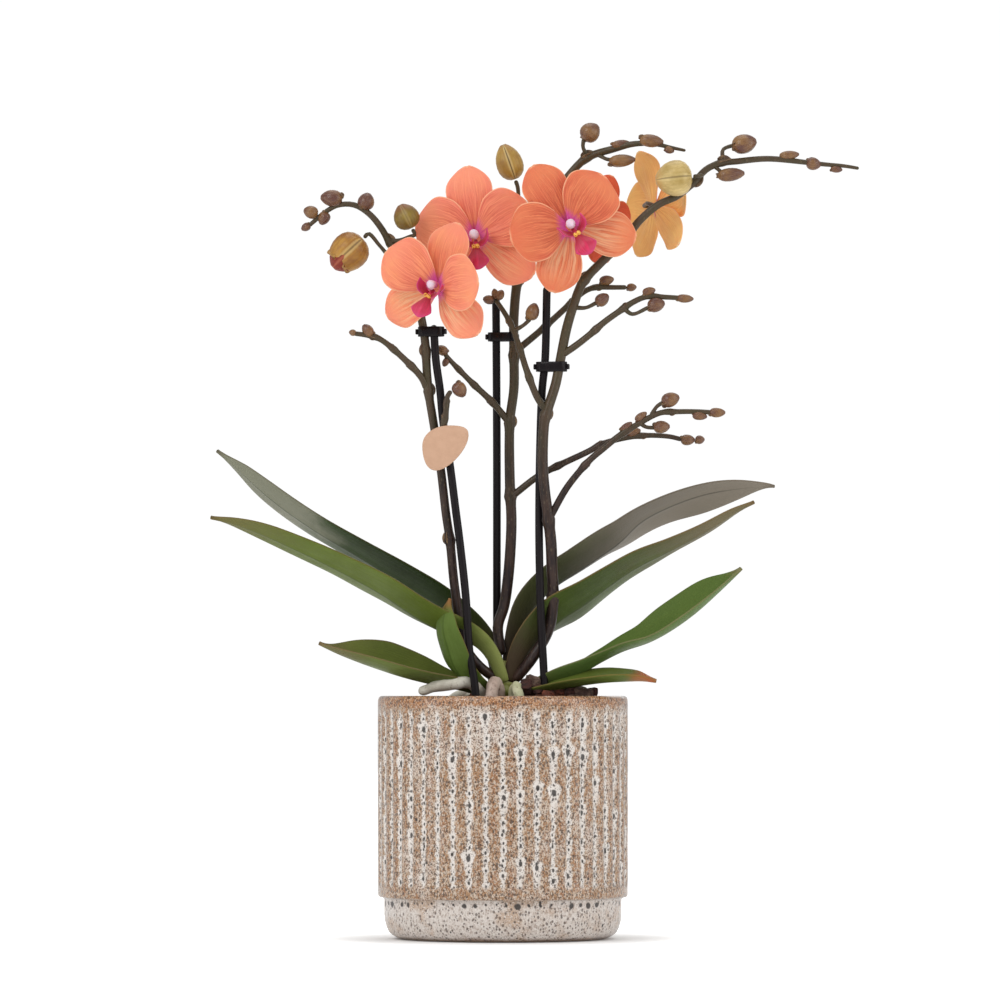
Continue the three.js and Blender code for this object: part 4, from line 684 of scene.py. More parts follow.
def pointing(at, toward, length, width):
    """The matrix that sets a unit shape, which points up, at a place and along a direction."""
    turn = Vector(toward).to_track_quat("Z", "Y").to_matrix().to_4x4()
    return moved(at) @ turn @ sized(width, width, length)


def copied(source, matrix):
    """A copy of a piece with its own mesh, set in place."""
    mesh = source.data.copy()
    mesh.transform(matrix)
    obj = bpy.data.objects.new(source.name, mesh)
    bpy.context.collection.objects.link(obj)
    return obj


def joined(name, pieces):
    """Several shells as one piece."""
    deselect()
    for piece in pieces:
        piece.select_set(True)
    bpy.context.view_layer.objects.active = pieces[0]
    if len(pieces) > 1:
        bpy.ops.object.join()
    return named(bpy.context.object, name)


def discard(*pieces):
    """Takes away shapes that were only copied from."""
    for piece in pieces:
        bpy.data.meshes.remove(piece.data)


def finished(obj, node):
    """Names a piece after the solid it stands for, and hands it to the frame in its place."""
    named(obj, f"{node}_finished")
    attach(obj, "root")
    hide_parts(node)


# Material building


class Signal:
    """A node's output that can be reckoned with: each operator adds a math node behind it."""

    def __init__(self, wiring, socket):
        self.wiring = wiring
        self.socket = socket

    def __add__(self, other):
        return self.wiring.math("ADD", self, other)

    def __radd__(self, other):
        return self.wiring.math("ADD", other, self)

    def __sub__(self, other):
        return self.wiring.math("SUBTRACT", self, other)

    def __rsub__(self, other):
        return self.wiring.math("SUBTRACT", other, self)

    def __mul__(self, other):
        return self.wiring.math("MULTIPLY", self, other)

    def __truediv__(self, other):
        return self.wiring.math("DIVIDE", self, other)

    def __abs__(self):
        return self.wiring.math("ABSOLUTE", self)

    def step(self, low, high):
        """A smooth rise from 0 at low to 1 at high, or a fall where high is the smaller."""
        return self.wiring.read("MapRange", "Result", {"Value": self, "From Min": low, "From Max": high},
                                interpolation_type="SMOOTHSTEP")


def ready(colour):
    """A colour for a socket: a screen colour is made linear, and any other stays as it is."""
    return colour if isinstance(colour, Signal) or len(colour) == 4 else rgb(*colour)


class Wiring:
    """Adds nodes to a tree and joins them."""

    def __init__(self, tree):
        self.tree = tree

    def node(self, kind, inputs=(), **settings):
        """A node with its settings, and its inputs as values or as signals to join."""
        made = self.tree.nodes.new(f"ShaderNode{kind}")
        for key, value in settings.items():
            setattr(made, key, value)
        for key, value in dict(inputs).items():
            self.feed(made.inputs[key], value)
        return made

    def feed(self, socket, value):
        """Joins a signal to a socket, or gives the socket a value."""
        if isinstance(value, Signal):
            self.tree.links.new(value.socket, socket)
        else:
            socket.default_value = value

    def read(self, kind, output, inputs=(), **settings):
        """One output of a new node."""
        return Signal(self, self.node(kind, inputs, **settings).outputs[output])

    def math(self, operation, first, second=0.0):
        """One step of arithmetic."""
        return self.read("Math", 0, {0: first, 1: second}, operation=operation)

    def most(self, first, second):
        """The larger of two values."""
        return self.math("MAXIMUM", first, second)

    def mix(self, share, first, second):
        """A blend of two colours."""
        return self.read("Mix", 2, {0: share, 6: ready(first), 7: ready(second)}, data_type="RGBA")

    def noise(self, at, scale, detail=3.0, roughness=0.5, distortion=0.0):
        """Cloudy noise from 0 to 1."""
        return self.read("TexNoise", "Fac", {"Vector": at, "Scale": scale, "Detail": detail,
                                             "Roughness": roughness, "Distortion": distortion})

    def cells(self, at, scale):
        """Distance to the nearest scattered point, and that point's own chance."""
        made = self.node("TexVoronoi", {"Vector": at, "Scale": scale}).outputs
        return Signal(self, made["Distance"]), self.split(Signal(self, made["Color"]))[0]

    def chance(self, output, inputs, dimensions):
        """A random draw for each value or place: a number from output 0, or three from output 1."""
        return self.read("TexWhiteNoise", output, inputs, noise_dimensions=dimensions)

    def stretch(self, vector, scale):
        """A vector scaled along each axis."""
        return self.read("Mapping", 0, {"Vector": vector, "Scale": scale})

    def split(self, vector):
        """The three parts of a vector."""
        return [Signal(self, part) for part in self.node("SeparateXYZ", {0: vector}).outputs]

    def bundle(self, x, y, z=0.0):
        """A vector of three parts."""
        return self.read("CombineXYZ", 0, {0: x, 1: y, 2: z})


class Surface(Wiring):
    """A material in the making: its shader, its colour so far, and its two kinds of coordinates."""

    def __init__(self, name, roughness, **constants):
        self.material = bpy.data.materials.new(name)
        self.material.use_nodes = True
        super().__init__(self.material.node_tree)
        self.tree.nodes.clear()
        self.shader = self.node("BsdfPrincipled", {"Roughness": roughness})
        for key, value in constants.items():
            self.shader.inputs[key.replace("_", " ")].default_value = value
        self.tree.links.new(self.shader.outputs[0], self.node("OutputMaterial").inputs[0])
        coordinates = self.node("TexCoord").outputs
        self.place = Signal(self, coordinates["Object"])
        self.uv = Signal(self, coordinates["UV"])
        self.tone = None

    def grain(self, scale, detail=3.0, roughness=0.5, distortion=0.0, upright=None):
        """Noise over the object, stretched along the height where asked."""
        return self.noise(self.spots(upright), scale, detail, roughness, distortion)

    def spots(self, upright):
        """The object's own coordinates, with the height scaled where asked."""
        return self.stretch(self.place, (1, 1, upright)) if upright else self.place

    def shared(self, name, inputs):
        """The outputs of a shared effect that is given this material's own values."""
        made = self.node("Group", (), node_tree=bpy.data.node_groups[name])
        for key, value in inputs.items():
            self.feed(made.inputs[key], value)
        return [Signal(self, output) for output in made.outputs]

    def mottle(self, scale, first, second, contrast, upright=None):
        """Lays down two colours in clouds, and gives the clouds."""
        self.tone, clouds = self.shared("mottle", {
            "Place": self.spots(upright), "Scale": scale, "First": ready(first),
            "Second": ready(second), "Contrast": contrast})
        return clouds

    def speckle(self, scale, size, upright=None):
        """Small scattered dots."""
        return self.shared("speckle", {"Place": self.spots(upright), "Scale": scale, "Size": size})[0]

    def veins(self, count, branching):
        """Veins as soft streaks and as thin lines."""
        return self.shared("veins", {"UV": self.uv, "Count": count, "Branching": branching})

    def margin(self, width):
        """How near the edge of a blade is."""
        return self.shared("margin", {"UV": self.uv, "Width": width})[0]

    def lay(self, mask, colour):
        """Lays a colour over the tone so far."""
        self.tone = self.mix(mask, self.tone, colour)

    def finish(self, relief, distance, strength, roughness=None):
        """Feeds the shader its colour, relief and roughness, and gives the material."""
        self.feed(self.shader.inputs["Base Color"], self.tone)
        if roughness is not None:
            self.feed(self.shader.inputs["Roughness"], roughness)
        bump = {"Height": relief, "Distance": distance, "Strength": strength}
        self.feed(self.shader.inputs["Normal"], self.read("Bump", 0, bump))
        return self.material


def effect(name, inputs, outputs):
    """An empty shared effect: an input is a kind of socket or a number, an output is a kind."""
    tree = bpy.data.node_groups.new(name, "ShaderNodeTree")
    for socket, given in inputs.items():
        kind = given if isinstance(given, str) else "Float"
        made = tree.interface.new_socket(socket, in_out="INPUT", socket_type=f"NodeSocket{kind}")
        if kind == "Float":
            made.default_value = given
    for socket, kind in outputs.items():
        tree.interface.new_socket(socket, in_out="OUTPUT", socket_type=f"NodeSocket{kind}")
    w = Wiring(tree)
    entry = tree.nodes.new("NodeGroupInput")
    outlet = tree.nodes.new("NodeGroupOutput")
    return w, [Signal(w, entry.outputs[socket]) for socket in inputs], outlet.inputs


# Shared effects


def make_mottle():
    """Two colours in soft clouds."""
    w, (place, scale, first, second, contrast), given = effect(
        "mottle", {"Place": "Vector", "Scale": 60.0, "First": "Color", "Second": "Color",
                   "Contrast": 0.3}, {"Color": "Color", "Mask": "Float"})
    mask = w.noise(place, scale, 4, 0.6).step(0.5 - contrast, 0.5 + contrast)
    w.feed(given["Color"], w.mix(mask, first, second))
    w.feed(given["Mask"], mask)


def make_speckle():
    """Small scattered dots of uneven size."""
    w, (place, scale, size), given = effect(
        "speckle", {"Place": "Vector", "Scale": 500.0, "Size": 0.3}, {"Mask": "Float"})
    distance, chance = w.cells(place, scale)
    reach = size * (chance + 0.25)
    w.feed(given["Mask"], distance.step(reach, reach * 0.6))


def make_veins():
    """Fine veins that run from a blade's base to its tip and fan out as it widens."""
    w, (uv, count, branching), given = effect(
        "veins", {"UV": "Vector", "Count": 16.0, "Branching": 2.0},
        {"Mask": "Float", "Lines": "Float"})
    across, lengthways, _ = w.split(uv)
    wander = w.noise(w.stretch(uv, (5, 3, 1)), 1.0, 3, 0.6)
    place = w.bundle((across + (wander - 0.5) * 0.09) * count, lengthways * branching)
    w.feed(given["Mask"], w.noise(place, 1.0, 2, 0.55).step(0.38, 0.62))
    w.feed(given["Lines"], abs(w.math("SINE", w.split(place)[0] * math.pi)).step(0.5, 0.0))


def make_margin():
    """How near a point of a blade is to its edge, from 0 inside to 1 at the edge."""
    w, (uv, width), given = effect("margin", {"UV": "Vector", "Width": 0.06}, {"Mask": "Float"})
    across, lengthways, _ = w.split(uv)
    near = w.math("MINIMUM", 0.5 - abs(across - 0.5), (1.0 - lengthways) * 0.7)
    w.feed(given["Mask"], near.step(width, 0.0))


def make_effects():
    """Builds each shared effect once."""
    make_mottle()
    make_speckle()
    make_veins()
    make_margin()


# Materials of the pot and what it holds


def glaze_pits(s, across, up, rows, smallest, largest, number):
    """Teardrop pits down the middle of each groove: a place's distance to one, its size and tail."""
    column = s.math("FLOOR", across)
    shift = s.chance(0, {"W": column + 100.0 * number}, "1D")
    level = up * rows + shift * 9.0
    cell = s.bundle(column, s.math("FLOOR", level), float(number))
    aside, lift, share = s.split(s.chance(1, {"Vector": cell}, "3D"))
    sideways = s.math("FRACT", across) - 0.5 + (aside - 0.5) * 0.1
    rise = (s.math("FRACT", level) - 0.5 + (lift - 0.5) * 0.45) / rows
    wide = sideways * s.most(1.2 + rise * -1.2, 0.9)
    reach = s.math("SQRT", wide * wide + rise * rise * 0.6)
    size = smallest + share * (largest - smallest)
    tail = abs(sideways).step(0.3, 0.16) * (rise.step(-1.5, -0.4) * rise.step(0.15, -0.1))
    return reach, s.most(size, 0.001), tail * size.step(0.1, 0.14)


def reactive_glaze():
    """Outside of the pot: tan ribs, pale glaze run into the grooves, dark pits in chains, and painted shade
    along the very bottom of the foot.
    """
    s = Surface("reactive_glaze", 0.2, Coat_Weight=0.3)
    height = s.split(s.place)[2] * 1000.0
    across, up, _ = s.split(s.uv)
    cloud = s.grain(42.0, 3, 0.6)
    fine = s.grain(1000.0, 3, 0.7, upright=0.6)
    grain = s.grain(1500.0, 2, 0.6)
    fluted = (height.step(FLUTE_BOTTOM - 0.5, FLUTE_BOTTOM + 2.5)
              * height.step(FLUTE_TOP + 3.5, FLUTE_TOP))

    from_groove = abs(s.math("FRACT", across) - 0.5)
    streaks = s.grain(190.0, 3, 0.6, upright=0.25).step(0.4, 0.6) * from_groove.step(0.2, 0.4)
    s.tone = s.mix(streaks, chosen("pot", "rib"), (160, 112, 74))
    s.lay(fine.step(0.46, 0.56) * 0.8, (212, 196, 178))
    s.lay(grain.step(0.5, 0.4) * 0.85, (86, 60, 42))

    small, small_size, _ = glaze_pits(s, across, up, 2.0, 0.02, 0.115, 1)
    large, large_size, tail = glaze_pits(s, across, up, 0.42, -0.02, 0.19, 2)
    ragged = (fine - 0.5) * 0.45
    pooled = (from_groove + ragged).step(0.14, 0.07)
    around = small_size * 1.6 + 0.11
    beads = (small + ragged).step(around, around - 0.05)
    around = large_size * 2.7
    halo = (large + ragged).step(around, around * 0.75)
    white = s.most(s.most(pooled, beads), s.most(halo, tail)) * fluted * grain.step(0.3, 0.46)
    near_rim = height.step(84.0, 104.0) * 0.12
    spread = (cloud + near_rim).step(0.55, 0.75) * grain.step(0.4, 0.52)
    white = s.most(white * 0.95, spread * 0.6)
    s.lay(white, chosen("pot", "pale"))

    run = s.noise(s.bundle(across * 1.1, 0.0), 1.0, 2)
    edge = 105.0 + run * 9.0 + s.grain(420.0, 2) * 3.0
    top = (height - edge).step(-0.8, 0.8)
    rim_shade = s.mix(fine.step(0.44, 0.56), chosen("pot", "rim"), (112, 68, 38))
    rim_shade = s.mix(grain.step(0.52, 0.6) * 0.8, rim_shade, (214, 186, 160))
    s.lay(top * 0.9, rim_shade)

    lower = height.step(STEP_HEIGHT + 0.3, STEP_HEIGHT - 0.5)
    foot_shade = s.mix(cloud.step(0.5, 0.64), (212, 202, 194), (190, 164, 142))
    foot_shade = s.mix(fine.step(0.48, 0.6) * 0.65, foot_shade, (150, 128, 112))
    foot_shade = s.mix(grain.step(0.54, 0.64) * 0.7, foot_shade, (232, 226, 220))
    s.lay(lower, foot_shade)
    # Painted shade: a darker brown band along the very bottom of the foot, where the pot meets the floor.
    s.lay((height + cloud * 3.0).step(3.6, 1.6) * 0.85, (140, 108, 84))

    dots = s.speckle(720.0, 0.46, 0.8)
    s.lay(dots * 0.75, (66, 50, 40))
    row = across * SPOT_PITCH + cloud * 1.5
    chance = s.chance(0, {"Vector": s.bundle(s.math("FLOOR", row), 7.0)}, "2D")
    aside = (s.math("FRACT", row) - 0.5) / (SPOT_PITCH / FLUTE_WIDTH)
    below = height - (STEP_HEIGHT - 2.0) + chance * 1.2
    away = s.math("SQRT", aside * aside + below * below)
    size = 0.6 + chance * chance * 1.4
    spots = away.step(size, size * 0.6)

    pits = s.most(small.step(small_size, small_size * 0.6), large.step(large_size, large_size * 0.65))
    pits = s.most(pits * fluted, spots * lower)
    stray, chance = s.cells(s.spots(0.8), 170.0)
    size = s.most((chance - 0.55) * 0.36, 0.001)
    pits = s.most(pits, stray.step(size, size * 0.6))
    s.lay(pits * 0.92, (28, 20, 16))
    relief = fine * 0.3 - pits * 1.6 + white * 0.35 - dots * 0.4
    return s.finish(relief, 0.0003, 0.7, 0.2 + pits * 0.3)


def inner_glaze():
    """Inside of the pot: the rim's brown glaze, thin over clay."""
    s = Surface("inner_glaze", 0.3)
    clouds = s.mottle(160.0, chosen("pot", "rim"), (146, 96, 56), 0.2)
    s.lay(s.speckle(520.0, 0.3) * 0.5, (90, 62, 44))
    return s.finish(clouds, 0.0002, 0.4)


def bare_clay():
    """Underside of the pot, wiped free of glaze."""
    s = Surface("bare_clay", 0.85)
    s.mottle(90.0, (206, 182, 156), (176, 146, 120), 0.25)
    return s.finish(s.grain(1500.0, 2), 0.0002, 0.5)


def frosted_plastic():
    """Thin plastic of the grow pot, dulled by damp."""
    s = Surface("frosted_plastic", 0.35)
    s.mottle(70.0, (186, 190, 184), (140, 138, 124), 0.3)
    dirt = s.grain(420.0, 3).step(0.58, 0.72)
    s.lay(dirt * 0.6, (84, 66, 52))
    return s.finish(dirt, 0.0002, 0.3)


def bark_chips(name, first, second):
    """Rough fir bark: layered and cracked, with painted shade in its hollows."""
    s = Surface(name, 0.9)
    s.mottle(210.0, first, second, 0.16)
    layers = s.grain(380.0, 5, 0.7, 0.8, 3.5)
    # Painted shade: near-black where the layered relief is low, in the bark's hollows.
    s.lay(layers.step(0.5, 0.36) * 0.7, (26, 16, 16))
    s.lay(s.grain(900.0, 2).step(0.66, 0.78) * 0.4, (150, 118, 96))
    return s.finish(layers, 0.0007, 0.9)


def root_skin(name, pale, shade, dirt):
    """Spongy skin of an air root, stained in patches and where it leaves the base."""
    s = Surface(name, 0.7)
    s.mottle(150.0, pale, shade, 0.22)
    s.lay(s.grain(330.0, 4, 0.65).step(0.54, 0.7) * 0.7, dirt)
    s.lay(s.split(s.uv)[1].step(0.3, 0.05) * 0.5, dirt)
    return s.finish(s.grain(1300.0, 3, 0.6), 0.0003, 0.5)


# Materials of the plant


def leaf_face(name, colour, shade, edge, rib, tip, foot):
    """One side of a leaf: parallel veins, a midrib, a tinted margin, tip and base, and a waxy skin; on some
    leaves the tip's grey is partly a painted sheen.
    """
    s = Surface(name, 0.45, Specular_IOR_Level=0.1)
    across, lengthways, _ = s.split(s.uv)
    clouds = s.mottle(38.0, colour, shade, 0.3)
    veins = s.veins(46.0, 1.2)[0]
    s.lay(veins * 0.3, shade)
    start, run, tip_and_sheen_colour = tip
    outer = lengthways + (clouds - 0.5) * 0.12
    # The tip's colour: a real brown or orange tip on most leaves; on the long back and top right leaves, a
    # grey that is partly the leaf's own and partly a painted sheen.
    s.lay(outer.step(start, start + run) * 0.9, tip_and_sheen_colour)
    s.lay(outer.step(0.3, 0.06) * 0.85, foot)
    s.lay(s.margin(0.03) * 0.6, edge)
    middle = abs(across - 0.5).step(0.035, 0.008) * lengthways.step(1.0, 0.8)
    s.lay(middle * 0.55, rib)
    s.lay(s.grain(1500.0, 2, 0.6).step(0.62, 0.78) * 0.1, (40, 44, 26))
    relief = veins * 0.6 + s.grain(1100.0, 2)
    return s.finish(relief, 0.0002, 0.35, 0.38 + clouds * 0.12)


def stem_skin():
    """Flower stems: dark purple low down, olive higher up, with streaks and pale flecks."""
    s = Surface("stem_skin", 0.36, Specular_IOR_Level=0.3)
    height = s.split(s.place)[2] * 1000.0
    rise = (height + s.grain(40.0, 3) * 90.0).step(235.0, 315.0)
    ground = s.mix(rise, chosen("plant", "stem_low"), chosen("plant", "stem"))
    streaks = s.mottle(420.0, ground, (84, 62, 50), 0.2, 0.18)
    s.tone = s.mix(0.55, ground, s.tone)
    s.lay(s.speckle(650.0, 0.3, 0.5) * 0.3, (112, 98, 74))
    return s.finish(streaks, 0.0002, 0.3)


def bract_skin():
    """Dry little sheaths at the nodes and under the buds."""
    s = Surface("bract_skin", 0.7)
    return s.finish(s.mottle(500.0, (134, 108, 78), (78, 56, 42), 0.2, 0.3), 0.0003, 0.5)


def small_bud_skin():
    """Small closed buds: glossy golden brown, purple towards the tip and in patches."""
    s = Surface("small_bud_skin", 0.26)
    s.mottle(120.0, (136, 98, 56), (92, 56, 48), 0.16)
    s.lay(s.split(s.uv)[1].step(0.5, 1.0) * 0.6, (82, 42, 40))
    veins = s.veins(26.0, 1.5)[0]
    s.lay(veins * 0.22, (150, 116, 78))
    return s.finish(veins, 0.0002, 0.4)


def large_bud_skin(name, pale, shade, blush, blush_from, seam):
    """A swollen bud: striped along its length, with dark seams, pale seam edges and a blush."""
    s = Surface(name, 0.38, Specular_IOR_Level=0.4)
    across, lengthways, _ = s.split(s.uv)
    clouds = s.mottle(85.0, pale, shade, 0.22)
    veins = s.veins(40.0, 1.3)[0]
    s.lay(veins * 0.45, shade)
    outer = lengthways + (clouds - 0.5) * 0.25
    s.lay(outer.step(blush_from, blush_from + 0.4) * 0.75, blush)
    from_seam = abs(s.math("FRACT", across * float(BUD_SEAMS) + 0.5) - 0.5)
    s.lay(from_seam.step(0.12, 0.06) * (0.5 * seam), (226, 206, 146))
    s.lay(from_seam.step(0.04, 0.012) * seam, (74, 52, 26))
    return s.finish(veins, 0.0002, 0.35)


def petal_face(name, colour, vein, margin, blush, heart=1.0, stripes=0.0):
    """A face of a sepal or petal: fanning veins, a pinker rim, a thin pale edge, a magenta heart."""
    s = Surface(name, 0.6, Sheen_Weight=0.15, Sheen_Roughness=0.4, Subsurface_Weight=0.1,
                Subsurface_Scale=0.002, Specular_IOR_Level=0.3)
    lengthways = s.split(s.uv)[1]
    s.mottle(60.0, colour, blush, 0.22)
    s.tone = s.mix(0.6, colour, s.tone)
    s.lay(s.margin(0.22) * 0.35, blush)
    veins, lines = s.veins(34.0, 1.6)
    near = lengthways.step(1.0, 0.3)
    s.lay(veins * 0.62 * near, vein)
    s.lay(lines * 0.4 * lengthways.step(1.0, 0.5), vein)
    if stripes:
        s.lay(s.veins(15.0, 1.3)[0] * stripes * near, (250, 214, 168))
    s.lay(s.margin(0.03) * 0.7, margin)
    if heart:
        s.lay((lengthways + veins * -0.03).step(0.2, 0.05) * heart, chosen("bloom", "halo"))
    return s.finish(veins + s.grain(1400.0, 2) * 0.6, 0.0002, 0.45)


def lip_skin():
    """The lip: crimson at its throat, hot pink outwards, with a magenta edge."""
    s = Surface("lip_skin", 0.4, Sheen_Weight=0.2)
    s.tone = s.mix(s.split(s.uv)[1].step(0.2, 0.9), chosen("bloom", "lip"), (216, 34, 88))
    s.lay(s.veins(14.0, 2.0)[0] * 0.4, (150, 8, 40))
    s.lay(s.margin(0.16) * 0.6, (208, 46, 120))
    return s.finish(s.grain(900.0, 3), 0.0003, 0.4)


def callus_skin():
    """The lip's callus: warm yellow with red spots."""
    s = Surface("callus_skin", 0.4)
    spots = s.speckle(1300.0, 0.5)
    s.tone = s.mix(spots, (248, 190, 84), (176, 30, 36))
    return s.finish(spots, 0.0002, 0.3)


def column_skin():
    """The column: white with a pink flush at its foot."""
    s = Surface("column_skin", 0.4, Subsurface_Weight=0.15, Subsurface_Scale=0.002)
    cloud = s.grain(700.0, 2)
    foot = (s.split(s.uv)[1] + cloud * 0.2).step(0.8, 0.25)
    s.tone = s.mix(foot, (228, 204, 220), (212, 104, 172))
    return s.finish(cloud, 0.0002, 0.3)


def crown_skin():
    """Pale green sheaths of the crown, browner in patches."""
    s = Surface("crown_skin", 0.45)
    clouds = s.mottle(130.0, (172, 176, 98), (128, 132, 66), 0.2, 0.4)
    s.lay(s.grain(260.0, 3).step(0.56, 0.72) * 0.5, (110, 84, 58))
    return s.finish(clouds, 0.0002, 0.3)


def dark_plastic(name, roughness):
    """Moulded plastic of sticks and clips, faintly grained and scuffed."""
    s = Surface(name, roughness, Specular_IOR_Level=0.18)
    s.mottle(600.0, (16, 11, 14), (26, 20, 23), 0.25, 0.08)
    grain = s.grain(2200.0, 2)
    return s.finish(grain, 0.0001, 0.3, roughness - 0.05 + grain * 0.12)


def tag_card():
    """Uncoated beige card with faint fibres."""
    s = Surface("tag_card", 0.8)
    fibres = s.grain(1200.0, 4, 0.7, 0.5, 0.35)
    s.mottle(240.0, (206, 166, 138), (196, 156, 128), 0.3)
    s.lay(fibres.step(0.6, 0.75) * 0.35, (202, 158, 124))
    return s.finish(fibres, 0.0001, 0.4)


# Pot


def pot_rows():
    """Radius and height of each row of the pot's skin, from the underside over the rim to the floor."""
    foot, low, wide, inside = FOOT_RADIUS, LOWER_RADIUS, POT_RADIUS, POT_INSIDE
    step, top, floor = STEP_HEIGHT, POT_HEIGHT, POT_FLOOR
    rows = [
        (20, 0), (foot - 1.2, 0), (foot, 0.3), (foot + 1.3, 0.7), (foot + 3, 1.6), (foot + 4.6, 3),
        (low - 1.3, 5.2), (low - 0.35, 8.4), (low, 11.5), (low, 15), (low, step - 1.6),
        (low + 0.3, step - 0.7), (wide - 1.4, step - 0.3), (wide - 0.4, step),
        (wide - 0.05, step + 0.7), (wide, step + 1.6),
    ]
    height = FLUTE_BOTTOM - 0.5
    while height < FLUTE_TOP + 2.5:
        rows.append((wide, height))
        near_end = height < FLUTE_BOTTOM + 4 or height > FLUTE_TOP - 4
        height += 0.8 if near_end else 2.6
    return rows + [
        (wide, top - 4), (wide - 0.1, top - 2), (wide - 0.5, top - 0.8), (wide - 1.4, top - 0.1),
        (wide - 2.5, top), (inside + 1.4, top - 0.1), (inside + 0.4, top - 0.9), (inside, top - 2.4),
        (inside - 1, 80), (inside - 3, 30), (inside - 4, floor + 4), (inside - 6, floor + 1),
        (inside - 10, floor), (15, floor),
    ]


def flute_share(turn, height):
    """How deep a groove is at a turn round the pot and a height, from 0 on a rib to 1."""
    wave = (1 - math.cos(turn * FLUTE_COUNT)) / 2
    low = min(max((height - FLUTE_BOTTOM) / 2.5, 0), 1)
    high = min(max((FLUTE_TOP + 1 - height) / 2.5, 0), 1)
    ease = low * low * (3 - 2 * low) * high * high * (3 - 2 * high)
    return wave ** 2.2 * ease


def make_cover_pot():
    """The glazed pot: turned, fluted, and slightly uneven where the glaze ran."""
    depth = bpy.context.scene.orchid_pot.flute_depth
    obj = turned("cover_pot", pot_rows(), FLUTE_COUNT * 10)
    for vertex in obj.data.vertices:
        x, y, z = vertex.co
        radius, height = math.hypot(x, y), z / MM
        if radius < (POT_INSIDE + 1.5) * MM or height < 0.5:
            continue
        turn = math.atan2(y, x)
        uneven = noise.noise(Vector((x, y, z * 0.6)) * 90) * 0.00018
        near_step = abs(height - STEP_HEIGHT) < 2.5
        sag = noise.noise(Vector((math.cos(turn) * 4, math.sin(turn) * 4, 3))) * 0.0004 if near_step else 0
        reach = radius - depth * flute_share(turn, height) - abs(uneven)
        vertex.co = (x / radius * reach, y / radius * reach, z + sag)
    pitch = POT_RADIUS * math.tau / FLUTE_COUNT
    layer = obj.data.uv_layers.active
    for face in obj.data.polygons:
        centre = face.center
        middle = math.atan2(centre.y, centre.x)
        for index in face.loop_indices:
            spot = obj.data.vertices[obj.data.loops[index].vertex_index].co
            turn = math.atan2(spot.y, spot.x) if math.hypot(spot.x, spot.y) > 1e-4 else middle
            if turn - middle > math.pi:
                turn -= math.tau
            elif middle - turn > math.pi:
                turn += math.tau
            layer.uv[index].vector = (turn / math.tau * FLUTE_COUNT, spot.z / MM / pitch)
    painted(obj, reactive_glaze(), inner_glaze(), bare_clay())
    for face in obj.data.polygons:
        centre = face.center
        outward = face.normal.x * centre.x + face.normal.y * centre.y
        if centre.z < 0.2 * MM:
            face.material_index = 2
        elif math.hypot(centre.x, centre.y) < (POT_INSIDE + 1.2) * MM and outward < 0.3 * MM:
            face.material_index = 1
    finished(obj, "cover_pot")


def make_grow_pot():
    """The thin grow pot: a tapered cup with a rolled rim and upright ribs."""
    foot, wide, top, floor = GROW_POT_FOOT, GROW_POT_RADIUS, GROW_POT_TOP, GROW_POT_BOTTOM
    slope = (wide - foot) / (top - 3 - floor)
    inside, low = wide - GROW_POT_WALL, foot - GROW_POT_WALL
    rows = [
        (12, floor), (foot - 0.8, floor), (foot, floor + 0.8),
        *((foot + slope * (height - floor), height) for height in (20, 50, 80, 95, 102)),
        (wide, top - 3), (wide + 1.6, top - 2.9), (wide + 2, top - 2.3), (wide + 2, top - 0.6),
        (wide + 1.5, top), (wide - 0.4, top), (inside, top - 0.5), (inside - 0.2, top - 3),
        (low + 1.2, 22), (low, 6.8), (low - 0.8, 6.5), (10, 6.5),
    ]
    obj = turned("grow_pot", rows, 144)
    for vertex in obj.data.vertices:
        x, y, z = vertex.co
        radius, height = math.hypot(x, y), z / MM
        if radius > GROW_POT_FOOT * MM and 8 < height < GROW_POT_TOP - 4:
            rib = max(math.cos(math.atan2(y, x) * 12), 0) ** 12 * 0.35 * MM
            vertex.co = (x * (1 + rib / radius), y * (1 + rib / radius), z)
    finished(painted(obj, frosted_plastic()), "grow_pot")


# Bark, roots and crown


def block(name, bevel, segments, cuts=0):
    """A unit block with bevelled edges, cut finer if asked."""
    deselect()
    bpy.ops.mesh.primitive_cube_add(size=1)
    obj = named(bpy.context.object, name)
    with editing():
        bpy.ops.mesh.bevel(offset=bevel, segments=segments, affect="EDGES")
        if cuts:
            bpy.ops.mesh.select_all(action="SELECT")
            bpy.ops.mesh.subdivide(number_cuts=cuts)
    return obj


def chip_shape(name, seed):
    """One chip of bark: a block with torn faces."""
    obj = block(name, 0.14, 1, 1)
    for vertex in obj.data.vertices:
        torn = noise.noise_vector(vertex.co * 2.3 + Vector((seed * 7.1, seed * 3.3, seed)))
        vertex.co += torn * 0.2
    return obj


def near_root(x, y, height):
    """Whether a root passes close over a place."""
    for root in ROOTS:
        line = Line(root["points"])
        for step in range(13):
            spot = line.at(step / 12)
            if math.hypot(spot.x - x, spot.y - y) < 6.5 and spot.z - 4.5 < height:
                return True
    return False


# Chips heaped against the crown and along the right: x, y, height, length and turn in degrees.
BARK_HEAP = (
    (12.5, -12.5, 116.5, 9, 30), (15.5, -16, 113.5, 10, -20), (24, -15.5, 114, 10, 15),
    (31.5, -20, 113.6, 9, -35), (37, -15, 113.5, 10, 60), (-12, 13, 113, 10, 10),
    (11.5, -14.5, 120.5, 8.5, 70), (14.5, -12, 123, 7, -15), (18.5, -15.5, 118, 8, 40),
    (26, -17, 117.4, 8, -10), (33, -18.5, 117.4, 8, 30), (38.5, -20, 117, 8.5, -20),
    (42, -16, 117.2, 6, 15), (22, -20, 116, 8, 80),
)


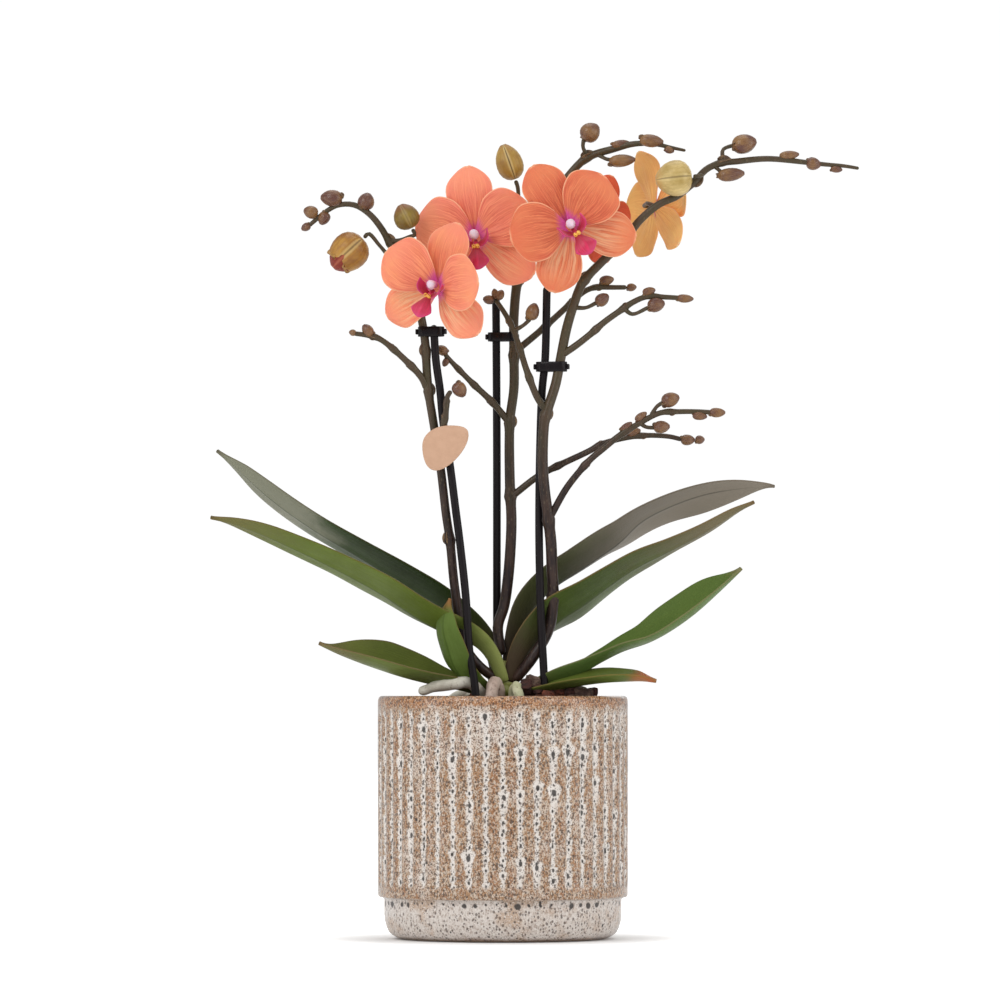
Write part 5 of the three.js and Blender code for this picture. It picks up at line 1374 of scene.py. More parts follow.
def make_bark():
    """The grow pot's bark: a mound down to its floor and loose chips over the top."""
    random_draw = random.Random(7)
    noise.seed_set(7)  # noise_vector takes its start from the clock otherwise
    foot = GROW_POT_FOOT - GROW_POT_WALL - 0.3
    rim = GROW_POT_RADIUS - GROW_POT_WALL - 0.3
    rows = [(10, 6.8), (foot, 6.8), (foot + 3, 50), (rim - 1, BARK_TOP - 7), (rim * 0.86, BARK_TOP - 3)]
    rows += [(rim * 0.7, BARK_TOP - 1), (rim * 0.5, BARK_TOP), (rim * 0.3, BARK_TOP + 1), (8, BARK_TOP + 1)]
    mound = turned("bark_mound", rows, 72)
    for vertex in mound.data.vertices:
        if vertex.co.z > (BARK_TOP - 8) * MM:
            vertex.co.z += noise.noise(vertex.co * 140) * 1.6 * MM
    chips = [chip_shape(f"chip_{seed}", seed) for seed in range(5)]
    shades = [bark_chips("bark_dark", (80, 44, 36), (50, 30, 28)),
              bark_chips("bark_red", (128, 68, 48), (74, 42, 36)),
              bark_chips("bark_grey", (124, 100, 86), (74, 54, 48))]
    pieces = [painted(mound, shades[0])]
    for ring, count in enumerate((8, 15, 22, 27, 30)):
        for place in range(count):
            turn = (place + random_draw.random() * 0.8) / count * math.tau
            reach = rim * (0.2 + ring * 0.165) + (random_draw.random() - 0.5) * 3
            length = 7 + random_draw.random() * 7
            width = 5 + random_draw.random() * 4
            thick = 2.6 + random_draw.random() * 3
            reach = min(reach, rim - length * 0.42)
            x, y = math.cos(turn) * reach, math.sin(turn) * reach
            height = BARK_TOP + 1.5 - ring * 0.6 + (random_draw.random() - 0.2) * 3.4
            if near_root(x, y, height + thick / 2):
                height -= 4
            tilts = [(random_draw.random() - 0.5) * 0.9 for _ in "XY"]
            turned_by = Matrix.Rotation(random_draw.random() * math.tau, 4, "Z")
            for tilt, axis in zip(tilts, "XY"):
                turned_by = turned_by @ Matrix.Rotation(tilt, 4, axis)
            whole = moved((x, y, height)) @ turned_by @ sized(length, width, thick)
            chip = copied(random_draw.choice(chips), whole)
            pieces.append(painted(chip, random_draw.choice((shades[0], *shades))))
    for number, (x, y, height, length, turn) in enumerate(BARK_HEAP):
        tilt = Matrix.Rotation((random_draw.random() - 0.5) * 1.2, 4, "Y")
        turned_by = Matrix.Rotation(math.radians(turn), 4, "Z") @ tilt
        whole = moved((x, y, height)) @ turned_by @ sized(length, 6, 5)
        chip = copied(chips[number % len(chips)], whole)
        pieces.append(painted(chip, shades[(0, 1, 0, 2)[number % 4]]))
    discard(*chips)
    finished(joined("bark", pieces), "bark")


ROOT_SHADES = {
    "pale": ((230, 226, 212), (196, 190, 174), (140, 122, 102)),
    "pink": ((212, 192, 178), (170, 146, 132), (112, 84, 72)),
    "green": ((222, 220, 188), (170, 172, 130), (122, 104, 76)),
    "dark": ((112, 98, 70), (74, 60, 48), (46, 34, 32)),
}
ROOT_KINDS = ("pale", "pink", "green", "dark", "pale", "green")


def make_roots():
    """The air roots, knobbly, each with its own colour, on their common base."""
    skins = {kind: root_skin(f"root_{kind}", *shades) for kind, shades in ROOT_SHADES.items()}
    base = [(1, 0, 94), (0.8, 0, 102), (0.6, 0, ROOT_BASE_TOP)]
    pieces = [stalk("root_base", skins["dark"], base, (4.5, 5.4, 6), 24, 1.5)]
    for number, (root, kind) in enumerate(zip(ROOTS, ROOT_KINDS)):
        def knobs(share, turn, number=number):
            spot = Vector((math.cos(turn) * 0.7, math.sin(turn) * 0.7, share * 13 + number * 5))
            return 1 + noise.noise(spot) * 0.16 - 0.04

        pieces.append(stalk("root", skins[kind], root["points"], root["radii"], 18, 0.9, shape=knobs))
    finished(joined("roots", pieces), "roots")


def make_crown():
    """The crown: a short stem in sheaths that overlap by turns from left and right."""
    def sheaths(share, turn):
        level = share * 4.2 + 0.35 * math.cos(turn)
        part = level % 1
        return 1.0 - 0.13 * part ** 3 + 0.03 * math.cos(2 * turn)

    points = [(0.6, 0, CROWN_FOOT), (0.2, 0, 122), (0, 1, 133)]
    obj = stalk("crown", crown_skin(), points, (6, 7.5, 7, 4.5), 40, 0.55, shape=sheaths)
    finished(obj, "crown")


# Sticks and clips

CLIP_TAB = 1.3


def make_sticks():
    """Each support stick with a rounded top and fine lengthways ridges."""
    material = dark_plastic("stick_plastic", 0.42)

    def ridges(share, turn):
        return 1 - 0.035 * (1 - abs(math.cos(turn * 4)))

    for name, points in STICKS.items():
        obj = stalk(name, material, points, (STICK_RADIUS, STICK_RADIUS), 24, 3, shape=ridges)
        finished(obj, name)


def ring_points(span, radius, steps):
    """Points of a stadium outline round two places a span apart."""
    points = []
    for centre, start in ((span, -90), (0, 90)):
        for step in range(steps + 1):
            angle = math.radians(start + 180 * step / steps)
            points.append((centre + math.cos(angle) * radius, math.sin(angle) * radius))
    return points


def make_clips():
    """Spring clips: a band round stick and stem, pinched between them, with a finger tab."""
    material = dark_plastic("clip_plastic", 0.25)
    for name, clip in CLIPS.items():
        start, end = Vector(clip["from"]), Vector(clip["to"])
        flat = end - start
        span = flat.length
        outer = ring_points(span, clip["radius"], 12)
        deselect()
        bpy.ops.mesh.primitive_circle_add(vertices=len(outer), radius=1, fill_type="NOTHING")
        obj = named(bpy.context.object, name)
        for vertex, (x, y) in zip(obj.data.vertices, outer):
            vertex.co = (x * MM, y * MM, -clip["height"] / 2 * MM)
        with editing():
            for _ in range(4):
                bpy.ops.mesh.extrude_region_move(
                    TRANSFORM_OT_translate={"value": (0, 0, clip["height"] / 4 * MM)})
        for vertex in obj.data.vertices:
            waist = math.exp(-(((vertex.co.x / MM - span / 2) / 1.3) ** 2))
            lift = 1 - (vertex.co.z / (clip["height"] / 2 * MM)) ** 2
            vertex.co.y *= (1 - 0.2 * waist) * (1 + 0.05 * lift)
        with editing():
            bpy.ops.mesh.normals_make_consistent(inside=False)
        modify(obj, "SOLIDIFY", thickness=1.05 * MM, offset=-1)
        modify(obj, "BEVEL", width=0.25 * MM, segments=2, limit_method="ANGLE")
        pieces = [obj]
        for hand in (-1, 1):
            tab = block("clip_tab", 0.2, 3)
            centre = span / 2 + hand * (span / 2 + clip["radius"] - 0.2 + CLIP_TAB / 2)
            tab.data.transform(moved((centre, 0, 0)) @ sized(CLIP_TAB, 3, 2.6))
            pieces.append(tab)
        obj = joined(name, pieces)
        turn = Matrix.Rotation(math.atan2(flat.y, flat.x), 4, "Z")
        painted(obj, material).data.transform(moved(start) @ turn)
        bpy.ops.object.shade_smooth_by_angle(angle=math.radians(40))
        finished(obj, name)


# Leaves

# Colour, shade, edge and midrib; where the tip's colour starts, its run and itself; the base's colour.
LEAF_TONES = {
    "leaf_left_long_front": ((104, 116, 44), (88, 102, 36), (104, 84, 50), (70, 86, 36),
                             (0.66, 0.4, (118, 108, 72)), (150, 158, 92)),
    "leaf_right_front": ((84, 98, 40), (66, 80, 32), (122, 96, 62), (62, 74, 32),
                         (0.42, 0.5, (118, 106, 80)), (70, 50, 44)),
    "leaf_left_upright": ((100, 118, 50), (80, 98, 40), (140, 96, 62), (66, 84, 34),
                          (0.86, 0.16, (150, 102, 62)), (84, 92, 44)),
    "leaf_right_lowest": ((106, 120, 52), (88, 102, 42), (122, 104, 58), (72, 88, 38),
                          (0.78, 0.16, (184, 96, 54)), (84, 92, 44)),
    "leaf_left_short": ((106, 116, 54), (88, 98, 44), (124, 96, 72), (74, 84, 42),
                        (0.66, 0.4, (118, 106, 76)), (84, 92, 44)),
    "leaf_right_middle": ((98, 118, 58), (82, 104, 48), (128, 120, 88), (72, 92, 44),
                          (0.94, 0.1, (130, 110, 74)), (84, 92, 44)),
    # This leaf's grey outer part is partly its own colour and partly a painted sheen.
    "leaf_left_long_back": ((52, 68, 22), (42, 56, 20), (92, 82, 62), (38, 52, 20),
                            (0.56, 0.14, (134, 134, 116)), (64, 56, 36)),
    # This leaf's grey outer part is partly its own colour and partly a painted sheen.
    "leaf_right_top": ((90, 94, 52), (72, 74, 44), (104, 92, 78), (48, 48, 36),
                       (0.26, 0.3, (142, 133, 121)), (62, 44, 42)),
}


def make_leaves():
    """Each leaf with a veined upper face, a duller lower face and a grooved midrib."""
    thickness = bpy.context.scene.orchid_plant.leaf_thickness / MM
    for name, leaf in LEAVES.items():
        colour, shade, edge, rib, tip, foot = LEAF_TONES[name]
        under = tuple(part + more for part, more in zip(colour, (4, 8, 12)))
        faces = [leaf_face(f"{name}_{side}", face, shade, edge, rib, tip, foot)
                 for side, face in (("upper", colour), ("lower", under))]
        shape = {**leaf, "hand": -leaf["hand"], "mid": thickness, "edge": LEAF_EDGE, "keel": 0.7,
                 "wave": 0.5, "ripples": 0.8, "tip": 0.2}
        finished(blade(name, shape, 14, 46, faces), name)


# Stems, bracts and buds

BUD_PROFILE = ((0, 0), (0.02, 0.3), (0.07, 0.58), (0.16, 0.82), (0.28, 0.96), (0.42, 1.0),
               (0.56, 0.96), (0.7, 0.84), (0.82, 0.64), (0.91, 0.42), (0.97, 0.22), (1, 0))
BUD_SEAMS = 3
BRANCH_NODES = (0.3, 0.55, 0.78)


def bud_shape(name, sides, groove, twist=0.0):
    """A closed bud of unit length and width, pointing up: a rounded body with three sepal seams."""
    sections = []
    for height, reach in BUD_PROFILE[1:-1]:
        ring = []
        for side in range(sides):
            turn = side / sides * math.tau
            phase = ((turn + twist * height) * BUD_SEAMS / math.tau) % 1
            distance = min(phase, 1 - phase) * math.tau / BUD_SEAMS
            seam = groove * math.exp(-((distance / 0.2) ** 2)) * min(1, height * 4)
            radius = reach * 0.5 * (1 - seam)
            ring.append(Vector((math.cos(turn) * radius, math.sin(turn) * radius, height - 0.5)) / MM)
        sections.append(ring)
    return lofted(name, sections)


def bract_shape():
    """A small pointed sheath of unit size that clasps a stem, pointing up."""
    shape = {
        "points": [(0, -0.05 / MM, 0), (0, -0.16 / MM, 0.3 / MM), (0, -0.2 / MM, 0.65 / MM),
                   (0, -0.12 / MM, 1 / MM)],
        "side": (1, 0, 0), "hand": 1, "widths": [0.42 / MM, 0.55 / MM, 0.4 / MM, 0.06 / MM],
        "folds": [-62, -55, -40, -20], "rolls": [0], "mid": 0.09 / MM, "edge": 0.05 / MM,
    }
    return blade("bract", shape, 6, 6, [])


def seat_behind(name):
    """The last two points of a pedicel: straight behind a bloom's hub or a bud's base."""
    if name in BLOOMS:
        bloom = BLOOMS[name]
        at, ahead = Vector(bloom["at"]), Vector(bloom["facing"]).normalized()
        depth = HUB_BACK * bloom["size"] + SEAT_GAP
    else:
        place, toward, length, _ = LARGE_BUDS[name]
        at, ahead = Vector(place), Vector(toward).normalized()
        depth = length / 2 + SEAT_GAP
    return [tuple(at - ahead * back) for back in (depth + SEAT_RUN, depth)]


def make_spikes():
    """Each flower spike: its stem with swollen nodes, branches, pedicels, bracts and small buds."""
    skin = stem_skin()
    bud = painted(bud_shape("small_bud", 18, 0.09, 0.5), small_bud_skin())
    bract = painted(bract_shape(), bract_skin())
    taper = [share * BRANCH_RADIUS for share in (1.15, 1, 0.75)]
    draw = random.Random(11)
    for name, spike in SPIKES.items():
        pieces = [stalk(name, skin, spike["stem"], spike["radii"], 16, 2.2, spike["nodes"])]
        lines = [Line(spike["stem"])]
        for points in spike["branches"]:
            lines.append(Line(points))
            joints = [lines[-1].at(share) for share in BRANCH_NODES]
            pieces.append(stalk("branch", skin, points, taper, 12, 1.6, joints))
        for points, seat in spike["pedicels"]:
            whole = [*points, *(seat_behind(seat) if seat else [])]
            radii = (PEDICEL_RADIUS * 1.35, PEDICEL_RADIUS, PEDICEL_RADIUS * 1.15)
            pieces.append(stalk("pedicel", skin, whole, radii, 10, 1.2))
        for at, toward, length, width in spike["buds"]:
            turn = Matrix.Rotation(draw.random() * math.tau, 4, "Z")
            pieces.append(copied(bud, pointing(at, toward, length, width) @ turn))
            foot = Vector(at) - Vector(toward).normalized() * length * 0.52
            pieces.append(copied(bract, pointing(foot, toward, 0.34 * length, 0.66 * width) @ turn))
        stem = lines[0]
        for number, node in enumerate(spike["nodes"]):
            share = stem.nearest(node)
            turn = Matrix.Rotation(number * math.pi + draw.random(), 4, "Z")
            foot = stem.at(share) - stem.tangent(share) * 1.2
            pieces.append(copied(bract, pointing(foot, stem.tangent(share), 6.5, 5.6) @ turn))
        for branch in lines[1:]:
            for number, share in enumerate(BRANCH_NODES):
                turn = Matrix.Rotation(number * math.pi + draw.random(), 4, "Z")
                place = pointing(branch.at(share), branch.tangent(share), 3.4, 3.2)
                pieces.append(copied(bract, place @ turn))
        finished(joined(name, pieces), name)
    discard(bud, bract)


def opening_cup(name, sides):
    """Three sepals parting at their tips, of unit size: a cup with a lobed mouth and an inner wall."""
    sections = [(height, reach, 0) for height, reach in BUD_PROFILE[1:-3]]
    sections += [(0.84, 0.78, 1), (0.83, 0.71, 1), (0.7, 0.74, 0.6), (0.5, 0.8, 0), (0.3, 0.7, 0)]
    rings = []
    for height, reach, lobed in sections:
        ring = []
        for side in range(sides):
            turn = side / sides * math.tau
            lobe = abs(math.sin(turn * BUD_SEAMS / 2)) ** 0.7
            distance = abs((turn * BUD_SEAMS / math.tau + 0.5) % 1 - 0.5) * math.tau / BUD_SEAMS
            seam = 0.08 * math.exp(-((distance / 0.16) ** 2)) * min(1, height * 3)
            level = height - 0.34 * (1 - lobe) * max(lobed, max(height - 0.45, 0) * 2 * (lobed > 0))
            radius = reach * 0.5 * (1 - seam) * (1 + 0.1 * (1 - lobe) * lobed)
            ring.append(Vector((math.cos(turn) * radius, math.sin(turn) * radius, level - 0.5)) / MM)
        rings.append(ring)
    return lofted(name, rings)


def make_large_buds():
    """The swollen buds with their seams, and the opening one with its sepals parted."""
    bud = bud_shape("large_bud", 60, 0.07)
    ball = bud_shape("petal_ball", 48, 0.05, 1.2)
    cup = opening_cup("sepal_cup", 72)
    skins = {
        "bud_left_olive": large_bud_skin(
            "olive_bud_skin", (142, 118, 44), (108, 82, 36), (128, 78, 44), 0.5, 0.3),
        "bud_top_olive": large_bud_skin(
            "seamed_bud_skin", (194, 162, 80), (146, 108, 48), (142, 94, 48), 0.6, 0.8),
        "bud_right_round": large_bud_skin(
            "round_bud_skin", (226, 200, 138), (168, 140, 74), (210, 162, 104), 0.75, 0.5),
        "bud_opening_sepals": large_bud_skin(
            "opening_bud_skin", (190, 142, 58), (134, 82, 34), (222, 186, 128), 0.5, 0.6),
    }
    for name, (at, toward, length, width) in LARGE_BUDS.items():
        shape = cup if name == "bud_opening_sepals" else bud
        obj = joined(name, [copied(shape, pointing(at, toward, length, width))])
        finished(painted(obj, skins[name]), name)
    petal = joined("opening_petal", [copied(ball, pointing(*OPENING_PETAL))])
    face = petal_face("opening_petal_face", (146, 58, 38), (96, 28, 22), (176, 96, 70),
                      (120, 40, 30), 0)
    finished(painted(petal, face), "bud_opening_petal")
    discard(bud, ball, cup)


# Blooms


def tepal_shape(tepal, faces, number):
    """One sepal or petal in the bloom's own plane, turned to the viewer's right."""
    points = []
    for step, rise in enumerate(tepal["lift"]):
        reach = TEPAL_START + (tepal["length"] - TEPAL_START) * step / (len(tepal["lift"]) - 1)
        points.append((reach, 0, tepal["level"] + rise))
    curl = tepal["curl"]
    shape = {
        "points": points, "side": (0, 1, 0), "hand": 1, "widths": tepal["widths"],
        "folds": [4, curl, curl * 0.5, -curl * 0.4], "rolls": [0], "wave": 0.7,
        "ripples": 1.1 + 0.1 * number, "keel": 0.35, "tip": 0.32, "mid": PETAL_MID, "edge": PETAL_EDGE,
    }
    return blade("tepal", shape, 16, 22, faces)


def petals_of(bloom, tepals, hub):
    """The hub and the five tepals of one bloom, each turned to its place and cupped forward."""
    slope = math.tan(math.radians(bloom.get("cup", 0)))
    pieces = [copied(hub, Matrix())]
    for number, tepal in enumerate(TEPALS):
        swing = bloom["turns"][number] if "turns" in bloom else 0
        cupped = Matrix()
        if tepal["cups"]:
            cupped[2][0] = slope
            cupped[2][3] = -slope * TEPAL_START * MM
        turn = Matrix.Rotation(math.radians(tepal["angle"] + swing), 4, "Z")
        pieces.append(copied(tepals[number], turn @ cupped))
    return joined("bloom_petals", pieces)


def lip_shape(skin, callus):
    """The lip: claw, two raised side lobes, a forward middle lobe, and the callus."""
    start = HUB_FRONT + SEAT_GAP
    bend = [(0, -2, start), (0, -2.1, start + 1), (0, -4.6, 7)]
    common = {"mid": PETAL_MID, "edge": PETAL_EDGE, "rolls": [0]}
    pieces = [stalk("claw", skin, bend, (0.9, 1.1, 1.5), 12, 0.6)]
    for hand in (-1, 1):
        shape = {
            **common, "side": (0, -0.6, 0.8), "hand": 1, "widths": [1.4, 2.8, 3.4, 1.2], "folds": [8],
            "points": [(hand * 0.6, -4, 6.4), (hand * 4, -2.6, 7.6), (hand * 6, 0.6, 8.2),
                       (hand * 6.4, 3, 8.4)], "tip": 0.3}
        pieces.append(blade("side_lobe", shape, 8, 10, [skin]))
    middle = {
        **common, "side": (1, 0, 0), "hand": -1, "widths": [1.4, 2.6, 5, 6, 4.8],
        "folds": [30, 24, 16, 8], "points": [(0, -3.8, 6.2), (0, -7, 9.6), (0, -11.5, 12.4),
                                             (0, -15.5, 12)], "keel": 0.3, "tip": 0.3}
    pieces.append(blade("middle_lobe", middle, 12, 16, [skin]))
    for hand in (-1, 1):
        bend = [(hand * 0.6, -5.2, 6.9), (hand * 0.8, -4.6, 8.4), (hand * 0.9, -3.8, 9.9)]
        pieces.append(stalk("callus", callus, bend, (1.0, 1.1, 0.7), 12, 0.4))
    return joined("bloom_lip", pieces)


def column_shape(skin):
    """The column: a short rounded arm with its cap bent over the lip."""
    def cap(share, turn):
        return 1 + 0.12 * math.exp(-(((share - 0.8) / 0.12) ** 2)) - 0.05 * math.cos(2 * turn)

    points = [(0, 1.1, HUB_FRONT + SEAT_GAP), (0, 1.2, 5), (0, 1, 8), (0, 0, 9.8)]
    return stalk("bloom_column", skin, points, (1.9, 1.7, 1.9, 2.2, 1.1), 24, 0.4, shape=cap)


def bloom_place(bloom):
    """The matrix from a bloom's own frame to its place."""
    z = Vector(bloom["facing"]).normalized()
    x = Matrix.Rotation(math.radians(bloom["roll"]), 3, z) @ Vector((0, 0, 1)).cross(z).normalized()
    turn = Matrix((x, z.cross(x), z)).transposed().to_4x4()
    return moved(bloom["at"]) @ turn @ Matrix.Scale(bloom["size"], 4)


LOWER_SEPALS = (1, 2)
# Colour, vein, blush, and strengths of the magenta heart and of the lower sepals' pale stripes.
BLOOM_TONES = {
    "bloom_front_left": ((248, 160, 112), (212, 92, 70), (242, 132, 114), 0.8, 0.6),
    "bloom_upper_middle": ((250, 160, 120), (212, 88, 72), (244, 132, 116), 0.7, 0.4),
    "bloom_centre_right": ((232, 138, 92), (180, 64, 46), (220, 104, 74), 0.8, 0.5),
    # The bloom behind: its deeper red-orange is partly its own colour and partly painted shade, as its
    # inside is turned away from the light.
    "bloom_behind": ((226, 90, 52), (168, 40, 30), (218, 96, 60), 0.6, 0.0),
    "bloom_right_turned": ((246, 178, 110), (222, 118, 70), (240, 150, 98), 0.7, 0.5),
}


def make_blooms():
    """The blooms: tepals, lip and column are modelled once, then copied and set in place."""
    margin, colour = chosen("bloom", "margin"), chosen("bloom", "petal")
    back = petal_face("tepal_back", (252, 202, 122), (222, 146, 78), (252, 226, 178),
                      (244, 172, 102), 0)
    front, striped = [petal_face(name, colour, (214, 104, 72), margin, (238, 134, 112))
                      for name in ("tepal_front", "tepal_striped")]
    tepals = [tepal_shape(tepal, (striped if number in LOWER_SEPALS else front, back), number)
              for number, tepal in enumerate(TEPALS)]
    hub_points = [(0, 0, -HUB_BACK), (0, 0, 0), (0, 0, HUB_FRONT)]
    hub = stalk("hub", front, hub_points, (1.8, 2.5, 3), 20, 0.8)
    lip = lip_shape(lip_skin(), callus_skin())
    column = column_shape(column_skin())
    for name, bloom in BLOOMS.items():
        place = bloom_place(bloom)
        colour, vein, blush, halo, stripes = BLOOM_TONES[name]
        petals = petals_of(bloom, tepals, hub)
        petals.data.transform(place)
        for stand_in, strength in ((front, 0.0), (striped, stripes)):
            slot = petals.data.materials.find(stand_in.name)
            petals.data.materials[slot] = petal_face(
                f"{name}_face", colour, vein, margin, blush, halo, strength)
        finished(petals, f"{name}_petals")
        finished(copied(lip, place), f"{name}_lip")
        finished(copied(column, place), f"{name}_column")
    discard(*tepals, hub, lip, column)
    bpy.data.materials.remove(front)
    bpy.data.materials.remove(striped)


# Tag


def bezier(first, second, third, fourth, steps):
    """Points of one bend, without its last."""
    found = []
    for step in range(steps):
        t = step / steps
        found.append(tuple(
            (1 - t) ** 3 * a + 3 * (1 - t) ** 2 * t * b + 3 * (1 - t) * t * t * c + t ** 3 * d
            for a, b, c, d in zip(first, second, third, fourth)))
    return found


TAG_BENDS = (
    ((11, 7.5), (12.5, 1), (2, -10.8), (-4.5, -10.8)),
    ((-4.5, -10.8), (-9.5, -10.8), (-11, -4), (-11, 1)),
    ((-11, 1), (-11, 7), (-5, 10.8), (2, 10.8)),
    ((2, 10.8), (6.5, 10.8), (10.3, 10.4), (11, 7.5)),
)


def make_tag():
    """The bare egg-shaped tag: a filled outline, extruded and bevelled at its edge."""
    outline = [point for bend in TAG_BENDS for point in bezier(*bend, 12)]
    deselect()
    bpy.ops.mesh.primitive_circle_add(vertices=len(outline), radius=1, fill_type="NGON")
    obj = named(bpy.context.object, "tag")
    for vertex, (x, z) in zip(obj.data.vertices, outline):
        vertex.co = (x * MM, 0, z * MM)
    with editing():
        bpy.ops.mesh.extrude_region_move(TRANSFORM_OT_translate={"value": (0, -TAG_THICKNESS * MM, 0)})
        bpy.ops.mesh.select_all(action="SELECT")
        bpy.ops.mesh.normals_make_consistent(inside=False)
    modify(obj, "BEVEL", width=0.3 * MM, segments=3, limit_method="ANGLE")
    painted(obj, tag_card()).data.transform(moved(TAG_BACK))
    bpy.ops.object.shade_smooth_by_angle(angle=math.radians(50))
    finished(obj, "tag")


# Stage

LOOK_AT = (-0.0014, 0, 0.210)
CAMERA_HEIGHT = 0.119
CAMERA_LENS = 225
LIGHTS = {
    "key_light": ((-1.1, -1.5, 1.4), (0, 0, 0.2), 1.0, 12),
    "fill_light": ((1.4, -1.2, 0.9), (0, 0, 0.2), 1.2, 6),
    "top_light": ((0, 0.3, 1.9), (0, 0, 0.2), 1.2, 7),
    "back_light": ((0.3, 1.6, 0.9), (0, 0, 0.2), 1.0, 3),
}
SIDE_STRIPS = {"left_strip": (-0.9, -0.35, 0.25), "right_strip": (0.95, -0.3, 0.25)}


def add_light(name, place, target, size, energy, height=None):
    """One soft area light."""
    deselect()
    bpy.ops.object.light_add(type="AREA", location=place)
    light = bpy.context.object
    light.name = name
    light.data.energy = energy
    light.data.size = size
    if height:
        light.data.shape = "RECTANGLE"
        light.data.size_y = height
    toward = Vector(target) - Vector(place)
    light.rotation_euler = toward.to_track_quat("-Z", "Y").to_euler()


def make_floor():
    """A pale floor that fades into the white all round."""
    deselect()
    bpy.ops.mesh.primitive_circle_add(vertices=96, radius=6, fill_type="TRIFAN", location=(0, 0, 0))
    floor = named(bpy.context.object, "floor")
    for vertex in floor.data.vertices:
        vertex.co.z = -0.0003
    s = Surface("floor_white", 0.9, Specular_IOR_Level=0.1)
    x, y, _ = s.split(s.place)
    away = s.math("SQRT", x * x + y * y).step(0.055, 0.14)
    s.tone = s.mix(away, (246, 246, 246), (1, 1, 1, 1))
    s.feed(s.shader.inputs["Emission Strength"], s.read("LightPath", "Is Camera Ray"))
    s.feed(s.shader.inputs["Emission Color"], s.mix(away, (0.05, 0.05, 0.05, 1), (0.9, 0.9, 0.9, 1)))
    painted(floor, s.finish(s.grain(300.0, 2), 0.00005, 0.1))


def make_world(strength):
    """Even white light all round, seen by the camera as plain white."""
    world = bpy.data.worlds.new("light_tent")
    bpy.context.scene.world = world
    world.use_nodes = True
    w = Wiring(world.node_tree)
    w.tree.nodes.clear()
    extra = w.read("LightPath", "Is Camera Ray") * (1.02 - strength)
    background = w.node("Background", {"Color": (1, 1, 1, 1), "Strength": extra + strength})
    w.tree.links.new(background.outputs[0], w.node("OutputWorld").inputs[0])


def make_stage():
    """Camera, lights, floor and the way colours are shown."""
    settings = bpy.context.scene.orchid_stage
    distance = settings.camera_distance
    deselect()
    place = Vector((LOOK_AT[0], -distance, CAMERA_HEIGHT))
    bpy.ops.object.camera_add(location=place)
    camera = bpy.context.object
    camera.name = "camera"
    camera.rotation_euler = (Vector(LOOK_AT) - place).to_track_quat("-Z", "Y").to_euler()
    camera.data.lens = CAMERA_LENS * distance / 3.0
    camera.data.clip_end = 100
    bpy.context.scene.camera = camera
    bpy.context.scene.view_settings.view_transform = "Standard"
    for name, (place, target, size, energy) in LIGHTS.items():
        add_light(name, place, target, size, energy)
    for name, place in SIDE_STRIPS.items():
        add_light(name, place, (0, 0, place[2]), 0.25, 1.6, 1.1)
    make_floor()
    make_world(settings.tent_light)


# Operators, one for each piece or group of like pieces


class ORCHID_OT_effects(bpy.types.Operator):
    """Build the shared material effects"""

    bl_idname = "orchid.effects"
    bl_label = "Material effects"

    def execute(self, context):
        make_effects()
        return {"FINISHED"}


class ORCHID_OT_stage(bpy.types.Operator):
    """Set up floor, lights and camera"""

    bl_idname = "orchid.stage"
    bl_label = "Stage"

    def execute(self, context):
        make_stage()
        return {"FINISHED"}


class ORCHID_OT_cover_pot(bpy.types.Operator):
    """Build the ribbed glazed pot"""

    bl_idname = "orchid.cover_pot"
    bl_label = "Glazed pot"

    def execute(self, context):
        make_cover_pot()
        return {"FINISHED"}


class ORCHID_OT_grow_pot(bpy.types.Operator):
    """Build the thin grow pot"""

    bl_idname = "orchid.grow_pot"
    bl_label = "Grow pot"

    def execute(self, context):
        make_grow_pot()
        return {"FINISHED"}


class ORCHID_OT_bark(bpy.types.Operator):
    """Fill the grow pot with bark"""

    bl_idname = "orchid.bark"
    bl_label = "Bark"

    def execute(self, context):
        make_bark()
        return {"FINISHED"}


class ORCHID_OT_roots(bpy.types.Operator):
    """Build the air roots"""

    bl_idname = "orchid.roots"
    bl_label = "Roots"

    def execute(self, context):
        make_roots()
        return {"FINISHED"}


class ORCHID_OT_crown(bpy.types.Operator):
    """Build the sheathed crown"""

    bl_idname = "orchid.crown"
    bl_label = "Crown"

    def execute(self, context):
        make_crown()
        return {"FINISHED"}


class ORCHID_OT_sticks(bpy.types.Operator):
    """Build the support sticks"""

    bl_idname = "orchid.sticks"
    bl_label = "Sticks"

    def execute(self, context):
        make_sticks()
        return {"FINISHED"}


class ORCHID_OT_leaves(bpy.types.Operator):
    """Build the leaves"""

    bl_idname = "orchid.leaves"
    bl_label = "Leaves"

    def execute(self, context):
        make_leaves()
        return {"FINISHED"}


class ORCHID_OT_spikes(bpy.types.Operator):
    """Build the flower spikes with their small buds"""

    bl_idname = "orchid.spikes"
    bl_label = "Flower spikes"

    def execute(self, context):
        make_spikes()
        return {"FINISHED"}


class ORCHID_OT_large_buds(bpy.types.Operator):
    """Build the swollen buds and the opening one"""

    bl_idname = "orchid.large_buds"
    bl_label = "Large buds"

    def execute(self, context):
        make_large_buds()
        return {"FINISHED"}


class ORCHID_OT_blooms(bpy.types.Operator):
    """Build the blooms"""

    bl_idname = "orchid.blooms"
    bl_label = "Blooms"

    def execute(self, context):
        make_blooms()
        return {"FINISHED"}


class ORCHID_OT_clips(bpy.types.Operator):
    """Build the clips that hold stems to sticks"""

    bl_idname = "orchid.clips"
    bl_label = "Clips"

    def execute(self, context):
        make_clips()
        return {"FINISHED"}


class ORCHID_OT_tag(bpy.types.Operator):
    """Build the bare tag"""

    bl_idname = "orchid.tag"
    bl_label = "Tag"

    def execute(self, context):
        make_tag()
        return {"FINISHED"}


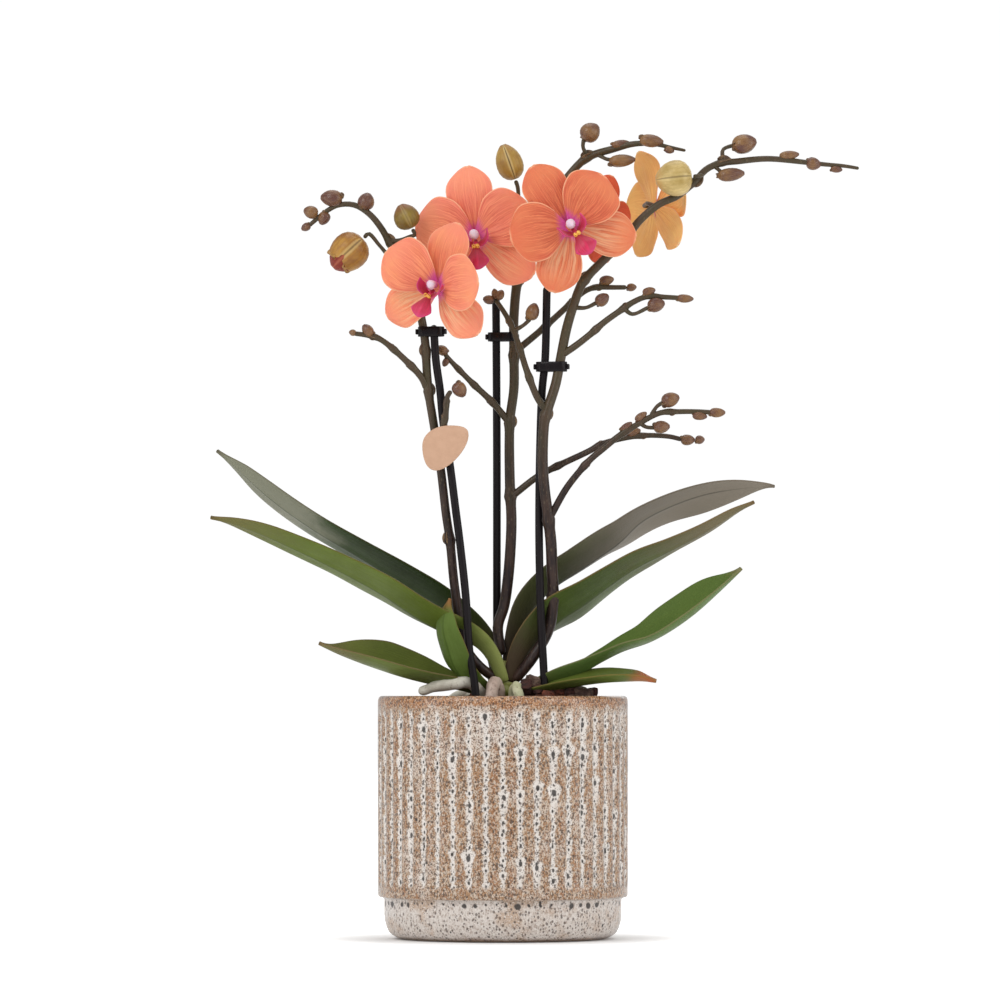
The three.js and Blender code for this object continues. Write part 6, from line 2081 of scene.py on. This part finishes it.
class VIEW3D_PT_orchid(bpy.types.Panel):
    """The orchid's settings and its building steps."""

    bl_label = "Potted moth orchid"
    bl_space_type = "VIEW_3D"
    bl_region_type = "UI"
    bl_category = "Orchid"

    def draw(self, context):
        for key, settings in SETTINGS.items():
            box = self.layout.box()
            owner = getattr(context.scene, key)
            for setting in settings.__annotations__:
                box.prop(owner, setting)
        for step in STEPS:
            self.layout.operator(step.bl_idname)


SETTINGS = {
    "orchid_pot": OrchidPotSettings,
    "orchid_plant": OrchidPlantSettings,
    "orchid_bloom": OrchidBloomSettings,
    "orchid_stage": OrchidStageSettings,
}
STEPS = (
    ORCHID_OT_effects, ORCHID_OT_stage, ORCHID_OT_cover_pot, ORCHID_OT_grow_pot, ORCHID_OT_bark,
    ORCHID_OT_roots, ORCHID_OT_crown, ORCHID_OT_sticks, ORCHID_OT_leaves, ORCHID_OT_spikes,
    ORCHID_OT_large_buds, ORCHID_OT_blooms, ORCHID_OT_clips, ORCHID_OT_tag,
)


def register():
    """Makes the settings, steps and panel known."""
    for settings in SETTINGS.values():
        bpy.utils.register_class(settings)
    for key, settings in SETTINGS.items():
        setattr(bpy.types.Scene, key, bpy.props.PointerProperty(type=settings))
    for step in STEPS:
        bpy.utils.register_class(step)
    bpy.utils.register_class(VIEW3D_PT_orchid)


def unregister():
    """Takes them away again."""
    bpy.utils.unregister_class(VIEW3D_PT_orchid)
    for step in reversed(STEPS):
        bpy.utils.unregister_class(step)
    for key in SETTINGS:
        delattr(bpy.types.Scene, key)
    for settings in reversed(list(SETTINGS.values())):
        bpy.utils.unregister_class(settings)


def main():
    """Builds the orchid step by step."""
    register()
    bpy.ops.orchid.effects()
    bpy.ops.orchid.stage()
    bpy.ops.orchid.cover_pot()
    bpy.ops.orchid.grow_pot()
    bpy.ops.orchid.bark()
    bpy.ops.orchid.roots()
    bpy.ops.orchid.crown()
    bpy.ops.orchid.sticks()
    bpy.ops.orchid.leaves()
    bpy.ops.orchid.spikes()
    bpy.ops.orchid.large_buds()
    bpy.ops.orchid.blooms()
    bpy.ops.orchid.clips()
    bpy.ops.orchid.tag()


if __name__ == "__main__":
    main()
